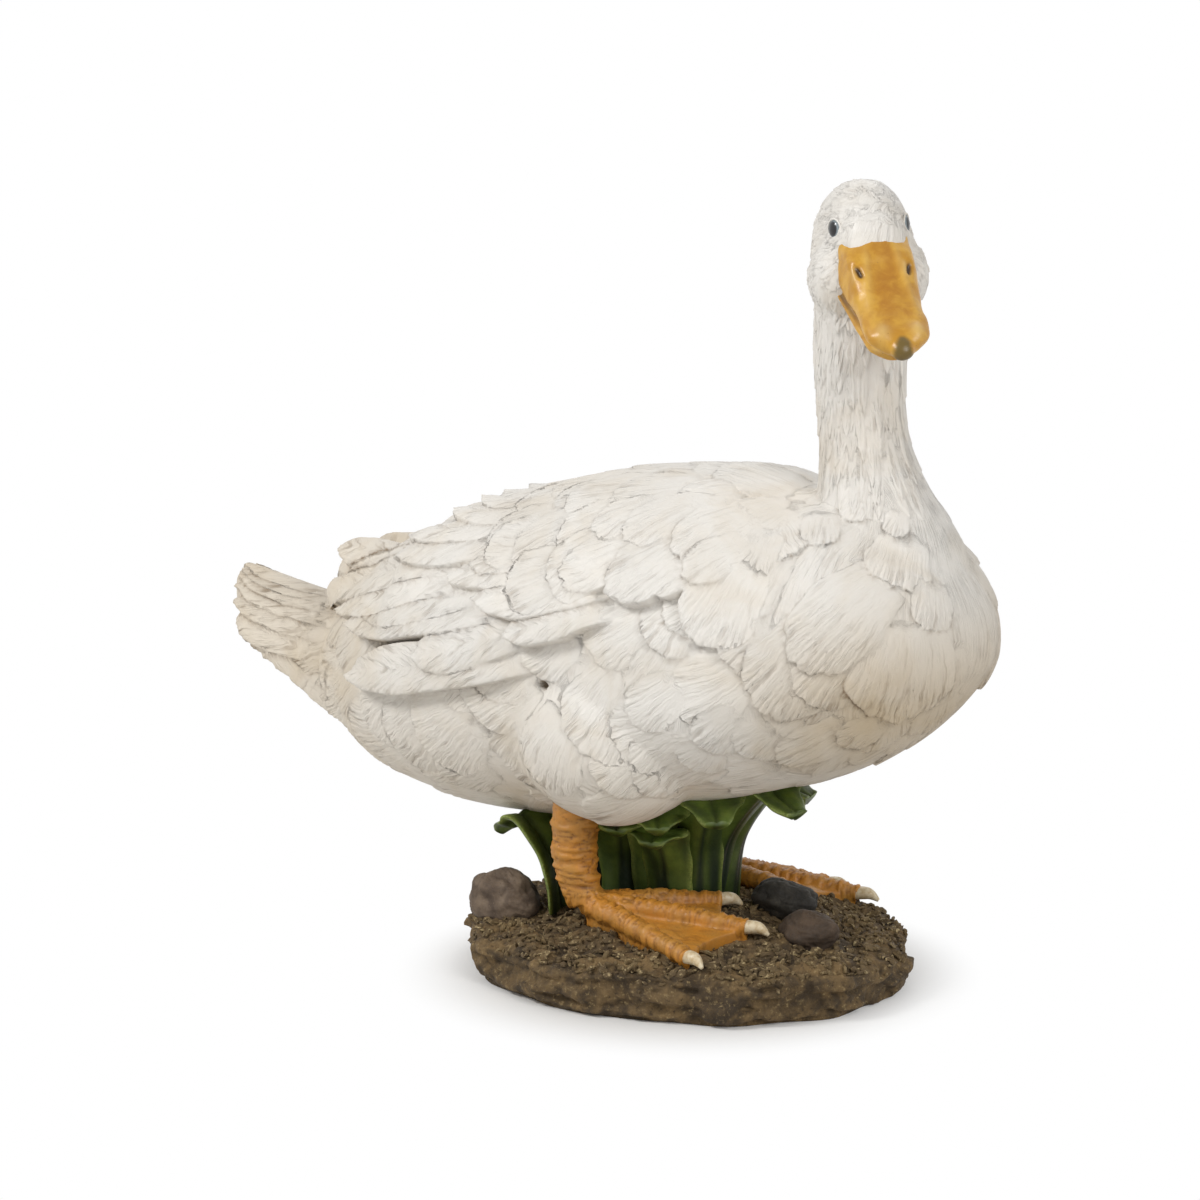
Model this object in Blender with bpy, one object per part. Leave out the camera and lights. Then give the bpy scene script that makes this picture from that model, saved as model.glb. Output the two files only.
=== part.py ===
"""Duck garden ornament: a white duck standing on a patch of earth, cast in one piece of resin and painted.

+X is the way the body faces, +Y is its left side, +Z is up. The origin is the middle of the flat underside.
"""

import math

import bmesh
import bpy
import numpy as np
from mathutils import Matrix, Vector, noise
from mathutils.bvhtree import BVHTree

# Earth that the duck stands on, in metres
GROUND_LENGTH = 0.232
GROUND_WIDTH = 0.194
GROUND_RIM = 0.025
GROUND_RISE = 0.011
CLOD_HEIGHT = 0.0022
CLOD_LENGTH = 0.029

# Legs and feet
LEG_SHOWN = 0.035
LEG_RADIUS = 0.0112
ANKLE_RADIUS = 0.0092
FOOT_SPACING = 0.098
FOOT_LENGTH = 0.092
TOE_RADIUS = 0.0056
WEB_THICKNESS = 0.0055
WEB_HOLLOW = 0.07
CLAW_LENGTH = 0.011
HEEL_BACK = 0.0285
HIND_TOE_LENGTH = 0.016

# Body
BODY_LENGTH = 0.385
BODY_DEPTH = 0.194
BODY_WIDTH = 0.180
BREAST_FORWARD = 0.165
WING_TIP_LENGTH = 0.116
WING_TIP_DEPTH = 0.046
WING_STANDS_OUT = 0.0065
TAIL_LENGTH = 0.064
TAIL_WIDTH = 0.068
TAIL_THICKNESS = 0.018

# Neck and head
NECK_RADIUS = 0.0205
NECK_SHOWN = 0.105
NAPE_STANDS_BACK = 0.0040
HEAD_LENGTH = 0.074
HEAD_WIDTH = 0.0485
HEAD_HEIGHT = 0.068
HEAD_TURN = math.radians(-48.8)
HEAD_LEAN = math.radians(3.5)
EYE_RADIUS = 0.0046
EYE_FACES_FORWARD = math.radians(27.0)
BILL_LENGTH = 0.064
BILL_ROOT_WIDTH = 0.0295
BILL_TIP_WIDTH = 0.0325
BILL_ROOT_DEPTH = 0.025
BILL_SLOPE = math.radians(43.0)

# Leaves and stones
LEAF_THICKNESS = 0.0046
LEAF_WIDTH = 0.024
LEAF_ROOT_DEPTH = 0.006
LEAF_IN_BELLY = 0.004
STONE_LENGTH = 0.036

# Hole for the hot air of the mould, in the right flank
VENT_RADIUS = 0.0023
VENT_DEPTH = 0.008

# Earth from its rim to its middle: share of the half length, and height in rims
GROUND_PROFILE = (
    (0.930, -0.30),
    (0.955, 0.00),
    (0.990, 0.30),
    (1.000, 0.58),
    (0.975, 0.88),
    (0.920, 1.03),
    (0.830, 1.12),
    (0.700, 1.20),
    (0.500, 1.34),
    (0.300, 1.42),
    (0.120, 1.44),
    (0.030, 1.44),
)

# How finely the casting is worked
SKIN_STEP = 0.0018
CAST_STEP = 0.0013
CAST_FACES = 11200
FEATHER_LIFT = 0.0034
FEATHER_EDGE = 0.0020

# Feathers
SCALLOP_LENGTH = 0.030
SHOULDER_FEATHER_LENGTH = 0.043
SHOULDER_FEATHER_WIDTH = 0.034
WING_FEATHER_LENGTH = 0.095
WING_FEATHER_WIDTH = 0.0215
TAIL_FEATHER_WIDTH = 0.0165
WING_FADE = 0.040

# Heights and places that follow from the sizes above
GROUND_TOP = GROUND_RIM + GROUND_RISE
KEEL_Z = GROUND_TOP + LEG_SHOWN
BACK_Z = KEEL_Z + BODY_DEPTH
RUMP_X = BREAST_FORWARD - BODY_LENGTH
HALF_WIDTH = BODY_WIDTH / 2
NECK_BACK_X = RUMP_X + 0.773 * BODY_LENGTH
HEAD_X = NECK_BACK_X + 0.975 * NECK_RADIUS
HEAD_Y = -0.01 * HEAD_WIDTH
HEAD_Z = BACK_Z + NECK_SHOWN
FEATHERS_FLOW_FROM = Vector((HEAD_X + 0.975 * NECK_RADIUS, 0.0, KEEL_Z + 1.02 * BODY_DEPTH))
BREAST_ROUND = 0.80
FAR_OUT = 0.8 * BODY_LENGTH

# Body outline: share along from rump to breast, then keel, back and waist as shares of the depth, and girth
BODY_STATIONS = (
    (0.000, 0.330, 0.400, 0.365, 0.10),
    (0.012, 0.240, 0.455, 0.350, 0.22),
    (0.050, 0.145, 0.520, 0.350, 0.38),
    (0.115, 0.062, 0.615, 0.350, 0.56),
    (0.163, 0.038, 0.690, 0.360, 0.65),
    (0.212, 0.020, 0.740, 0.368, 0.73),
    (0.232, 0.016, 0.803, 0.372, 0.76),
    (0.330, 0.002, 0.830, 0.400, 0.87),
    (0.425, 0.012, 0.885, 0.440, 0.94),
    (0.525, 0.050, 0.925, 0.470, 0.97),
    (0.625, 0.100, 0.945, 0.490, 1.00),
    (0.730, 0.155, 0.950, 0.510, 0.96),
    (0.830, 0.225, 0.935, 0.540, 0.86),
    (0.905, 0.312, 0.870, 0.560, 0.70),
    (0.958, 0.410, 0.785, 0.580, 0.49),
    (0.990, 0.500, 0.690, 0.590, 0.26),
    (1.000, 0.560, 0.630, 0.595, 0.10),
)

# Ends of the outer, middle and inner toe of the right and the left foot: ahead of the heel and out, in foot lengths
TOE_ENDS = {
    -1: ((0.82, 0.29), (0.90, -0.19), (0.56, -0.475)),
    1: ((0.68, 0.40), (0.94, 0.27), (0.78, -0.13)),
}

# Leaves: root and tip as shares of the earth's length and width, how far the end curls over in leaf widths, and share
# of the height up to the belly
LEAVES = (
    ((-0.237, -0.175), (-0.388, -0.180), 0.55, 1.00),
    ((-0.190, -0.072), (-0.362, 0.021), 0.50, 0.96),
    ((-0.172, 0.062), (-0.328, 0.196), 0.45, 0.96),
    ((-0.129, -0.072), (-0.065, -0.222), 0.40, 1.00),
    ((-0.052, -0.057), (0.043, -0.232), 0.45, 1.00),
    ((-0.009, -0.072), (0.009, -0.196), 0.30, 0.80),
    ((0.034, -0.015), (0.172, -0.196), 0.50, 1.00),
    ((0.052, 0.036), (0.302, -0.062), 0.60, 1.00),
    ((0.060, 0.093), (0.250, 0.113), 0.45, 0.98),
    ((0.017, 0.124), (0.112, 0.278), 0.40, 0.98),
    ((-0.052, 0.113), (-0.060, 0.258), 0.40, 0.98),
    ((-0.129, 0.113), (-0.198, 0.258), 0.40, 0.98),
)

# Stones: place as shares of the earth's length and width, height above it and sizes in stone lengths, shape
STONES = (
    ((-0.362, -0.216), -0.06, (1.12, 0.80, 0.84), 1),
    ((-0.328, 0.021), 0.00, (0.62, 0.55, 0.60), 2),
    ((0.211, 0.074), 0.11, (1.02, 0.75, 0.55), 3),
    ((0.332, -0.046), -0.08, (0.84, 0.74, 0.64), 4),
    ((0.129, 0.402), -0.22, (0.60, 0.50, 0.36), 5),
)

# Small feathers, row by row: share of the body's length, then length and width in scallops
SCALLOP_ROWS = (
    (0.030, 0.67, 0.67),
    (0.080, 0.73, 0.67),
    (0.140, 0.80, 0.73),
    (0.200, 0.87, 0.80),
    (0.260, 0.93, 0.83),
    (0.320, 0.97, 0.87),
    (0.380, 1.00, 0.90),
    (0.440, 1.00, 0.93),
    (0.500, 1.03, 0.97),
    (0.560, 1.03, 0.97),
    (0.620, 1.03, 0.97),
    (0.680, 1.03, 0.97),
    (0.740, 1.03, 0.97),
    (0.795, 1.00, 0.93),
    (0.830, 0.97, 0.90),
    (0.865, 0.93, 0.87),
    (0.900, 0.93, 0.87),
    (0.935, 0.90, 0.83),
    (0.970, 0.90, 0.83),
)

# Wing feathers, row by row from the longest: count, place of the highest and lowest tip as shares of the body's
# length and depth, length and width as shares of the full ones, slope of the highest and of the lowest
WING_ROWS = (
    (6, (0.045, 0.635), (0.150, 0.440), 1.00, 0.79, (-0.30, -0.10)),
    (6, (0.275, 0.790), (0.300, 0.420), 0.86, 0.95, (-0.26, -0.16)),
    (6, (0.400, 0.860), (0.430, 0.440), 0.69, 1.00, (-0.24, -0.26)),
    (5, (0.500, 0.880), (0.520, 0.545), 0.53, 1.00, (-0.22, -0.36)),
    (4, (0.600, 0.880), (0.600, 0.660), 0.44, 1.02, (-0.20, -0.42)),
)


def clear_scene():
    """Removes what a new file holds."""
    for obj in list(bpy.data.objects):
        bpy.data.objects.remove(obj, do_unlink=True)


def material(name, colour, roughness):
    """Painted resin of one colour."""
    paint = bpy.data.materials.new(name)
    paint.use_nodes = True
    shader = paint.node_tree.nodes["Principled BSDF"]
    shader.inputs["Base Color"].default_value = (*colour, 1.0)
    shader.inputs["Roughness"].default_value = roughness
    shader.inputs["Metallic"].default_value = 0.0
    paint.diffuse_color = (*colour, 1.0)
    return paint


def spline(rows, count):
    """Smooth curve through the rows, read at count even steps between the first row and the last."""
    rows = np.asarray(rows, float)
    last = len(rows) - 1
    at = np.linspace(0, last, count)
    left = np.minimum(at.astype(int), last - 1)
    t = (at - left)[:, None]
    before = rows[np.maximum(left - 1, 0)]
    start = rows[left]
    end = rows[left + 1]
    after = rows[np.minimum(left + 2, last)]
    bend = 2 * before - 5 * start + 4 * end - after
    return start + 0.5 * t * (end - before + t * (bend + t * (3 * (start - end) + after - before)))


def oval(count, across, above, below, square=2.0, flare=0.0):
    """Points round an oval, as sideways and upward places about its widest line.

    A flare above 0 makes it wider towards the bottom and narrower towards the top.
    """
    turn = np.linspace(0, 2 * math.pi, count, endpoint=False)
    sideways = np.sign(np.cos(turn)) * np.abs(np.cos(turn)) ** (2 / square) * across
    upward = np.sign(np.sin(turn)) * np.abs(np.sin(turn)) ** (2 / square)
    return sideways * (1 - flare * upward), upward * np.where(upward > 0, above, below)


def loft(rings):
    """Closed skin through rings that have the same count of points, as points and faces."""
    count = len(rings[0])
    faces = []
    for row in range(len(rings) - 1):
        for k in range(count):
            a = row * count + k
            b = row * count + (k + 1) % count
            faces.append((a, b, b + count, a + count))
    faces.append(tuple(reversed(range(count))))
    faces.append(tuple(range((len(rings) - 1) * count, len(rings) * count)))
    return np.concatenate(rings), faces


def limb(path, radii, count=18, rows=24):
    """Round bar along a path of points, with a radius at each."""
    rows = spline(np.column_stack([path, radii]), rows)
    centres = rows[:, :3]
    along = np.gradient(centres, axis=0)
    along /= np.linalg.norm(along, axis=1)[:, None]
    turn = np.linspace(0, 2 * math.pi, count, endpoint=False)
    rings = []
    side = np.array((0.0, 0.0, 1.0)) if abs(along[0][1]) > 0.9 else np.array((0.0, 1.0, 0.0))
    for centre, way, radius in zip(centres, along, rows[:, 3]):
        side = side - way * (side @ way)
        side /= np.linalg.norm(side)
        over = np.cross(way, side)
        rings.append(centre + radius * (np.cos(turn)[:, None] * side + np.sin(turn)[:, None] * over))
    return loft(rings)


def blade(path, widths, thickness, side, fold=0.25):
    """Leaf along a path of points, with a half width at each, folded a little along its middle."""
    rows = spline(np.column_stack([path, widths]), 22)
    along = np.gradient(rows[:, :3], axis=0)
    along /= np.linalg.norm(along, axis=1)[:, None]
    rings = []
    for centre, way, half in zip(rows[:, :3], along, rows[:, 3]):
        across = np.asarray(side, float) - way * (np.asarray(side) @ way)
        across /= np.linalg.norm(across)
        out = np.cross(way, across)
        sideways, upward = oval(20, half, thickness / 2, thickness / 2)
        lift = fold * (np.abs(sideways) - half / 2)
        rings.append(centre + sideways[:, None] * across + (upward + lift)[:, None] * out)
    return loft(rings)


def ball(centre, sizes, count=20):
    """Egg of three half sizes about its centre."""
    shape = bmesh.new()
    bmesh.ops.create_uvsphere(shape, u_segments=count, v_segments=count // 2, radius=1.0)
    points = np.array([v.co for v in shape.verts]) * np.asarray(sizes) + np.asarray(centre)
    faces = [tuple(v.index for v in face.verts) for face in shape.faces]
    shape.free()
    return points, faces


def moved(form, matrix):
    """A form in its own frame, placed by a matrix."""
    points, faces = form
    matrix = np.array(matrix)
    return points @ matrix[:3, :3].T + matrix[:3, 3], faces


def joined(forms):
    """Several forms as one list of points and faces."""
    points = []
    faces = []
    for form_points, form_faces in forms:
        first = sum(len(part) for part in points)
        points.append(np.asarray(form_points))
        faces += [tuple(first + index for index in face) for face in form_faces]
    return np.concatenate(points), faces


def mesh_object(name, form):
    """Object holding a form, with its faces pointing out."""
    points, faces = form
    mesh = bpy.data.meshes.new(name)
    mesh.from_pydata([tuple(point) for point in points], [], faces)
    shape = bmesh.new()
    shape.from_mesh(mesh)
    bmesh.ops.recalc_face_normals(shape, faces=shape.faces)
    shape.to_mesh(mesh)
    shape.free()
    obj = bpy.data.objects.new(name, mesh)
    bpy.context.scene.collection.objects.link(obj)
    return obj


def fused(name, form, step, smoothing):
    """Overlapping forms melted into one skin, as wet clay is worked together."""
    obj = mesh_object(name, form)
    melt = obj.modifiers.new("melt", "REMESH")
    melt.mode = "VOXEL"
    melt.voxel_size = step
    if smoothing:
        soften = obj.modifiers.new("soften", "SMOOTH")
        soften.factor = 0.5
        soften.iterations = smoothing
    settle(obj)
    return obj


def settle(obj):
    """Keeps what the modifiers make as the object's own mesh."""
    graph = bpy.context.evaluated_depsgraph_get()
    mesh = bpy.data.meshes.new_from_object(obj.evaluated_get(graph))
    obj.modifiers.clear()
    obj.data = mesh


def corners_of(mesh):
    """Places of the mesh's vertices, one row each."""
    flat = np.empty(len(mesh.vertices) * 3, np.float32)
    mesh.vertices.foreach_get("co", flat)
    return flat.reshape(-1, 3).astype(float)


def normals_of(mesh):
    """Outward directions at the mesh's vertices, one row each."""
    flat = np.empty(len(mesh.vertices) * 3, np.float32)
    mesh.vertex_normals.foreach_get("vector", flat)
    return flat.reshape(-1, 3).astype(float)


def body_station(share):
    """Keel height, back height, waist height and half width of the body at a share of its length."""
    table = np.array(BODY_STATIONS)
    keel, back, waist, girth = (np.interp(share, table[:, 0], table[:, k]) for k in (1, 2, 3, 4))
    return (
        KEEL_Z + keel * BODY_DEPTH,
        KEEL_Z + back * BODY_DEPTH,
        KEEL_Z + waist * BODY_DEPTH,
        girth * HALF_WIDTH,
    )


def body_form():
    """Trunk from rump to breast, as upright ovals along its length."""
    rings = []
    for share, keel, back, waist, girth in spline(BODY_STATIONS, 60):
        sideways, upward = oval(56, girth * HALF_WIDTH, back - waist, waist - keel, 2.15)
        along = np.full(len(sideways), RUMP_X + share * BODY_LENGTH)
        rings.append(np.column_stack([along, sideways, KEEL_Z + BODY_DEPTH * (waist + upward)]))
    return loft(rings)


def thigh_form(side):
    """Swell of the flank over the top of a leg."""
    centre = (RUMP_X + 0.540 * BODY_LENGTH, side * 0.54 * HALF_WIDTH, KEEL_Z + 0.325 * BODY_DEPTH)
    return ball(centre, (0.140 * BODY_LENGTH, 0.500 * HALF_WIDTH, 0.260 * BODY_DEPTH), 28)


def wing_tip_form(side):
    """Hind end of a folded wing, standing clear over the root of the tail."""
    stations = (
        (0.00, 0.54, 0.630, 0.90, 0.26),
        (0.25, 0.46, 0.598, 0.96, 0.24),
        (0.50, 0.36, 0.560, 0.86, 0.20),
        (0.75, 0.25, 0.575, 0.70, 0.15),
        (0.92, 0.17, 0.595, 0.50, 0.11),
        (1.00, 0.14, 0.605, 0.26, 0.07),
    )
    start_x = RUMP_X + 0.335 * BODY_LENGTH
    rings = []
    for share, out, middle, depth, thick in spline(stations, 30):
        half = depth * WING_TIP_DEPTH / 2
        sideways, upward = oval(28, thick * WING_TIP_DEPTH, half, half, 2.3)
        along = np.full(len(sideways), start_x - share * WING_TIP_LENGTH)
        outward = out * HALF_WIDTH + sideways - 0.55 * upward
        rings.append(np.column_stack([along, side * outward, KEEL_Z + middle * BODY_DEPTH + upward]))
    return loft(rings)


def tail_form():
    """Short fan of tail, arched across and thinning to its end."""
    buried = 0.52 * TAIL_LENGTH
    top = KEEL_Z + 0.492 * BODY_DEPTH
    rings = []
    for share in np.linspace(0, 1, 18):
        half = TAIL_WIDTH / 2 * (1.0 - 0.24 * share**2)
        thick = TAIL_THICKNESS * (1.30 - 0.75 * share)
        sideways, upward = oval(40, half, thick / 2, thick / 2, 2.8)
        out = np.abs(sideways) / half
        reach = share * (TAIL_LENGTH + buried) * (1 - 0.22 * out**2)
        arch = TAIL_WIDTH * (0.68 - 0.29 * share) * out**2
        height = top + 0.15 * reach - thick / 2 + upward - arch
        rings.append(np.column_stack([RUMP_X + buried - reach, sideways, height]))
    return loft(rings)


def neck_form():
    """Upright neck that flares into the breast, its back edge straight."""
    swell = (
        (0.00, 1.86), (0.12, 1.78), (0.22, 1.56), (0.31, 1.30), (0.42, 1.09), (0.55, 1.03), (0.68, 1.08), (0.85, 1.13),
        (1.00, 1.16),
    )
    low = BACK_Z - 0.30 * BODY_DEPTH
    high = HEAD_Z
    rings = []
    for share, wide in spline(swell, 40):
        radius = NECK_RADIUS * wide
        sideways, forward = oval(36, radius * 0.98, radius, radius)
        height = np.full(len(sideways), low + share * (high - low))
        back = NECK_BACK_X - NAPE_STANDS_BACK * min(1.0, max(0.0, share - 0.40) / 0.30)
        rings.append(np.column_stack([back + radius + forward, sideways, height]))
    return loft(rings)


def head_place():
    """Matrix of the head's own frame: +X to the bill, +Z to the crown, origin in the middle of the skull."""
    turn = Matrix.Rotation(HEAD_TURN, 4, "Z")
    lean = Matrix.Rotation(HEAD_LEAN, 4, "X")
    return Matrix.Translation((HEAD_X, HEAD_Y, HEAD_Z)) @ turn @ lean


def head_form():
    """Skull and cheeks, as upright ovals from the nape to the bill's root."""
    stations = (
        (-0.50, -0.20, 0.12, 0.10),
        (-0.46, -0.34, 0.26, 0.42),
        (-0.36, -0.46, 0.38, 0.76),
        (-0.18, -0.52, 0.47, 0.96),
        (0.02, -0.52, 0.505, 0.98),
        (0.18, -0.48, 0.48, 0.84),
        (0.31, -0.42, 0.38, 0.68),
        (0.39, -0.36, 0.24, 0.60),
        (0.45, -0.30, 0.08, 0.50),
    )
    rings = []
    for along, low, high, wide in spline(stations, 40):
        middle = (low + high) / 2
        sideways, upward = oval(36, wide * HEAD_WIDTH / 2, high - middle, middle - low, 2.3, 0.09)
        forward = np.full(len(sideways), along * HEAD_LENGTH)
        rings.append(np.column_stack([forward, sideways, HEAD_HEIGHT * middle + HEAD_HEIGHT * upward]))
    return moved(loft(rings), head_place())


def cheek_form(side):
    """Full cheek below and behind the eye."""
    centre = (0.08 * HEAD_LENGTH, side * 0.285 * HEAD_WIDTH, -0.17 * HEAD_HEIGHT)
    sizes = (0.28 * HEAD_LENGTH, 0.31 * HEAD_WIDTH, 0.27 * HEAD_HEIGHT)
    return moved(ball(centre, sizes, 24), head_place())


def bill_place():
    """Matrix of the bill's own frame: +X to its tip along the top, origin at the top of its root."""
    root = Matrix.Translation((0.42 * HEAD_LENGTH, 0.0, 0.13 * HEAD_HEIGHT))
    return head_place() @ root @ Matrix.Rotation(BILL_SLOPE, 4, "Y")


def upper_bill_form():
    """Broad upper bill, hollow-backed and spoon-ended, its sides flaring down at the root."""
    stations = (
        (-0.14, 1.20, 0.00, 1.00, 0.11),
        (0.06, 1.19, 0.00, 0.96, 0.11),
        (0.22, 1.13, 0.05, 0.80, 0.12),
        (0.40, 1.03, 0.09, 0.64, 0.11),
        (0.58, 0.96, 0.09, 0.54, 0.08),
        (0.74, 0.95, 0.07, 0.47, 0.05),
        (0.87, 0.87, 0.05, 0.42, 0.03),
        (0.950, 0.58, 0.08, 0.36, 0.02),
        (1.00, 0.26, 0.14, 0.22, 0.00),
    )
    rings = []
    for along, wide, dip, deep, flare in spline(stations, 36):
        depth = deep * BILL_ROOT_DEPTH
        width = BILL_ROOT_WIDTH + (BILL_TIP_WIDTH - BILL_ROOT_WIDTH) * min(max(along / 0.7, 0), 1)
        square = 2.5 + 4.5 * max(0.0, 1 - max(along, 0.0) / 0.5)
        sideways, upward = oval(36, wide * width / 2, depth / 2, depth / 2, square, flare)
        top = -dip * BILL_ROOT_DEPTH * 1.5 - depth / 2
        forward = np.full(len(sideways), along * BILL_LENGTH)
        rings.append(np.column_stack([forward, sideways, top + upward]))
    return moved(loft(rings), bill_place())


def bill_nail_form():
    """Hard nail on the tip of the upper bill."""
    centre = (0.965 * BILL_LENGTH, 0.0, -0.26 * BILL_ROOT_DEPTH)
    sizes = (0.105 * BILL_LENGTH, 0.18 * BILL_TIP_WIDTH, 0.19 * BILL_ROOT_DEPTH)
    return moved(ball(centre, sizes), bill_place())


def lower_bill_form():
    """Narrower lower bill, a mouth line below the upper one."""
    stations = (
        (-0.10, 1.20, 1.02),
        (0.15, 1.16, 0.95),
        (0.40, 1.03, 0.80),
        (0.62, 0.92, 0.68),
        (0.80, 0.76, 0.60),
        (0.88, 0.40, 0.56),
    )
    half_depth = 0.20 * BILL_ROOT_DEPTH
    rings = []
    for along, wide, low in spline(stations, 24):
        sideways, upward = oval(28, wide * BILL_TIP_WIDTH / 2, half_depth, half_depth)
        forward = np.full(len(sideways), along * BILL_LENGTH)
        rings.append(np.column_stack([forward, sideways, upward - low * BILL_ROOT_DEPTH - 0.6 * half_depth]))
    return moved(loft(rings), bill_place())


def eye_form(side):
    """Round eye set in the side of the head."""
    centre = Matrix.Translation((0.215 * HEAD_LENGTH, side * 0.365 * HEAD_WIDTH, 0.185 * HEAD_HEIGHT))
    turn = Matrix.Rotation(-side * EYE_FACES_FORWARD, 4, "Z")
    eye = ball((0.0, 0.0, 0.0), (EYE_RADIUS, EYE_RADIUS * 0.60, EYE_RADIUS * 1.10), 24)
    return moved(eye, head_place() @ centre @ turn)


def heel_of(side):
    """Where the heel stands on the ground."""
    return np.array((-HEEL_BACK, side * FOOT_SPACING / 2, GROUND_TOP + ANKLE_RADIUS * 0.6))


def leg_form(side):
    """Bare leg from inside the belly to the heel."""
    heel = heel_of(side)
    top = heel + (-0.55 * LEG_RADIUS, 0.0, LEG_SHOWN + 2.3 * LEG_RADIUS)
    middle = heel + (-0.62 * LEG_RADIUS, 0.0, LEG_SHOWN * 0.55)
    return limb((top, middle, heel), (LEG_RADIUS * 1.12, LEG_RADIUS, ANKLE_RADIUS))


def toe_tips(side):
    """Ends of the outer, middle and inner toe, on the ground."""
    heel = heel_of(side)
    return [
        on_ground(heel[0] + reach * FOOT_LENGTH, heel[1] + side * out * FOOT_LENGTH, TOE_RADIUS * 0.85)
        for reach, out in TOE_ENDS[side]
    ]


def ground_height_at(x, y):
    """Height of the earth under a point."""
    share = math.hypot(x / (GROUND_LENGTH / 2), y / (GROUND_WIDTH / 2))
    shares, heights = np.array(GROUND_PROFILE[3:])[::-1].T
    return GROUND_RIM * np.interp(share, shares, heights)


def on_ground(x, y, above):
    """Point that much above the earth."""
    return np.array((x, y, ground_height_at(x, y) + above))


def toe_form(side, tip):
    """Knuckled toe from the heel to its end."""
    heel = heel_of(side)
    middle = on_ground((heel[0] + tip[0]) / 2, (heel[1] + tip[1]) / 2, TOE_RADIUS * 1.1)
    return limb((heel, middle, tip), (TOE_RADIUS * 1.15, TOE_RADIUS, TOE_RADIUS * 0.8), rows=16)


def claw_form(side, tip):
    """Short curved claw on a toe's end."""
    way = tip - heel_of(side)
    way[2] = 0.0
    way /= np.linalg.norm(way)
    root = tip - way * CLAW_LENGTH * 0.27
    middle = tip + way * CLAW_LENGTH * 0.5 + (0.0, 0.0, 0.09 * TOE_RADIUS)
    end = tip + way * CLAW_LENGTH - (0.0, 0.0, 0.5 * TOE_RADIUS)
    return limb((root, middle, end), (TOE_RADIUS * 0.62, TOE_RADIUS * 0.55, TOE_RADIUS * 0.21), rows=10)


def hind_toe_form(side):
    """Small raised toe behind the heel."""
    heel = heel_of(side) + (0.0, 0.0, 0.7 * TOE_RADIUS)
    end = heel + HIND_TOE_LENGTH * np.array((-0.69, -side * 0.75, -0.37))
    middle = (heel + end) / 2 + (0.0, 0.0, 0.36 * TOE_RADIUS)
    return limb((heel, middle, end), (TOE_RADIUS * 0.93, TOE_RADIUS * 0.80, TOE_RADIUS * 0.40), rows=10)


def web_form(side):
    """Skin between the toes, its front edges curved in."""
    heel = heel_of(side)
    tips = toe_tips(side)
    outline = [heel + TOE_RADIUS * np.array((0.36, 0.70 * side, 0.0)), tips[0]]
    for start, end in zip(tips, tips[1:]):
        for share in (0.2, 0.5, 0.8):
            sag = WEB_HOLLOW * 4 * share * (1 - share)
            hollow = (start + (end - start) * share) * (1 - sag) + heel * sag
            outline.append(on_ground(hollow[0], hollow[1], TOE_RADIUS * 0.85))
        outline.append(end)
    outline.append(heel + TOE_RADIUS * np.array((0.36, -0.70 * side, 0.0)))
    rim = np.array(outline)
    below = rim - (0.0, 0.0, WEB_THICKNESS * 2)
    return loft([below, rim])


def leaf_forms():
    """Thick blades rising from the ground between the legs and curling out under the belly."""
    foot = GROUND_TOP - LEAF_ROOT_DEPTH
    half = LEAF_WIDTH / 2
    leaves = []
    for (x, y), (tip_x, tip_y), curl, reach in LEAVES:
        low = np.array((x * GROUND_LENGTH, y * GROUND_WIDTH, foot))
        tip = np.array((tip_x * GROUND_LENGTH, tip_y * GROUND_WIDTH, 0.0))
        crest = low * 0.42 + tip * 0.58
        belly = body_station((crest[0] - RUMP_X) / BODY_LENGTH)[0] + LEAF_IN_BELLY
        crest[2] = foot + reach * (belly - foot)
        tip[2] = crest[2] - curl * LEAF_WIDTH * 0.5
        waist = low * 0.80 + crest * 0.20
        waist[2] = low[2] * 0.45 + crest[2] * 0.55
        outward = tip - low
        side = (-outward[1], outward[0], 0.0)
        path = (low, waist, crest, (crest + tip) / 2 + (0.0, 0.0, 0.15 * (crest[2] - tip[2])), tip)
        leaves.append(blade(path, (half * 0.80, half * 0.86, half * 1.12, half, half * 0.45), LEAF_THICKNESS, side))
    return leaves


def stone_forms():
    """Boulder at the rear edge, a dark one behind it, and a dark and a brown one near the front."""
    stones = []
    for (x, y), above, sizes, seed in STONES:
        points, faces = ball((0, 0, 0), (1, 1, 1), 28)
        rough = [1 + 0.16 * noise.noise(Vector(p) * 1.3 + Vector((seed * 7.0, 0, 0))) for p in points]
        half = np.array(sizes) * STONE_LENGTH / 2
        centre = np.array((x * GROUND_LENGTH, y * GROUND_WIDTH, GROUND_TOP + above * STONE_LENGTH))
        stones.append((points * np.array(rough)[:, None] * half + centre, faces))
    return stones


def ground_form():
    """Rounded patch of earth, reaching below the underside that is later cut flat."""
    rings = []
    for share, height in spline(GROUND_PROFILE, 44):
        turn = np.linspace(0, 2 * math.pi, 96, endpoint=False)
        edge = [0.060 * noise.noise(Vector((2.6 * math.cos(a), 2.6 * math.sin(a), 4.0))) for a in turn]
        x = GROUND_LENGTH / 2 * share * np.cos(turn) * (1 + np.array(edge))
        y = GROUND_WIDTH / 2 * share * np.sin(turn) * (1 + np.array(edge))
        bumps = [noise.noise(Vector((px / CLOD_LENGTH, py / CLOD_LENGTH, height))) for px, py in zip(x, y)]
        z = GROUND_RIM * height + CLOD_HEIGHT * np.array(bumps) * min(1.0, max(0.0, height * 2))
        rings.append(np.column_stack([x, y, np.minimum(z, GROUND_TOP + CLOD_HEIGHT / 2)]))
    return loft(rings)


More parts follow.
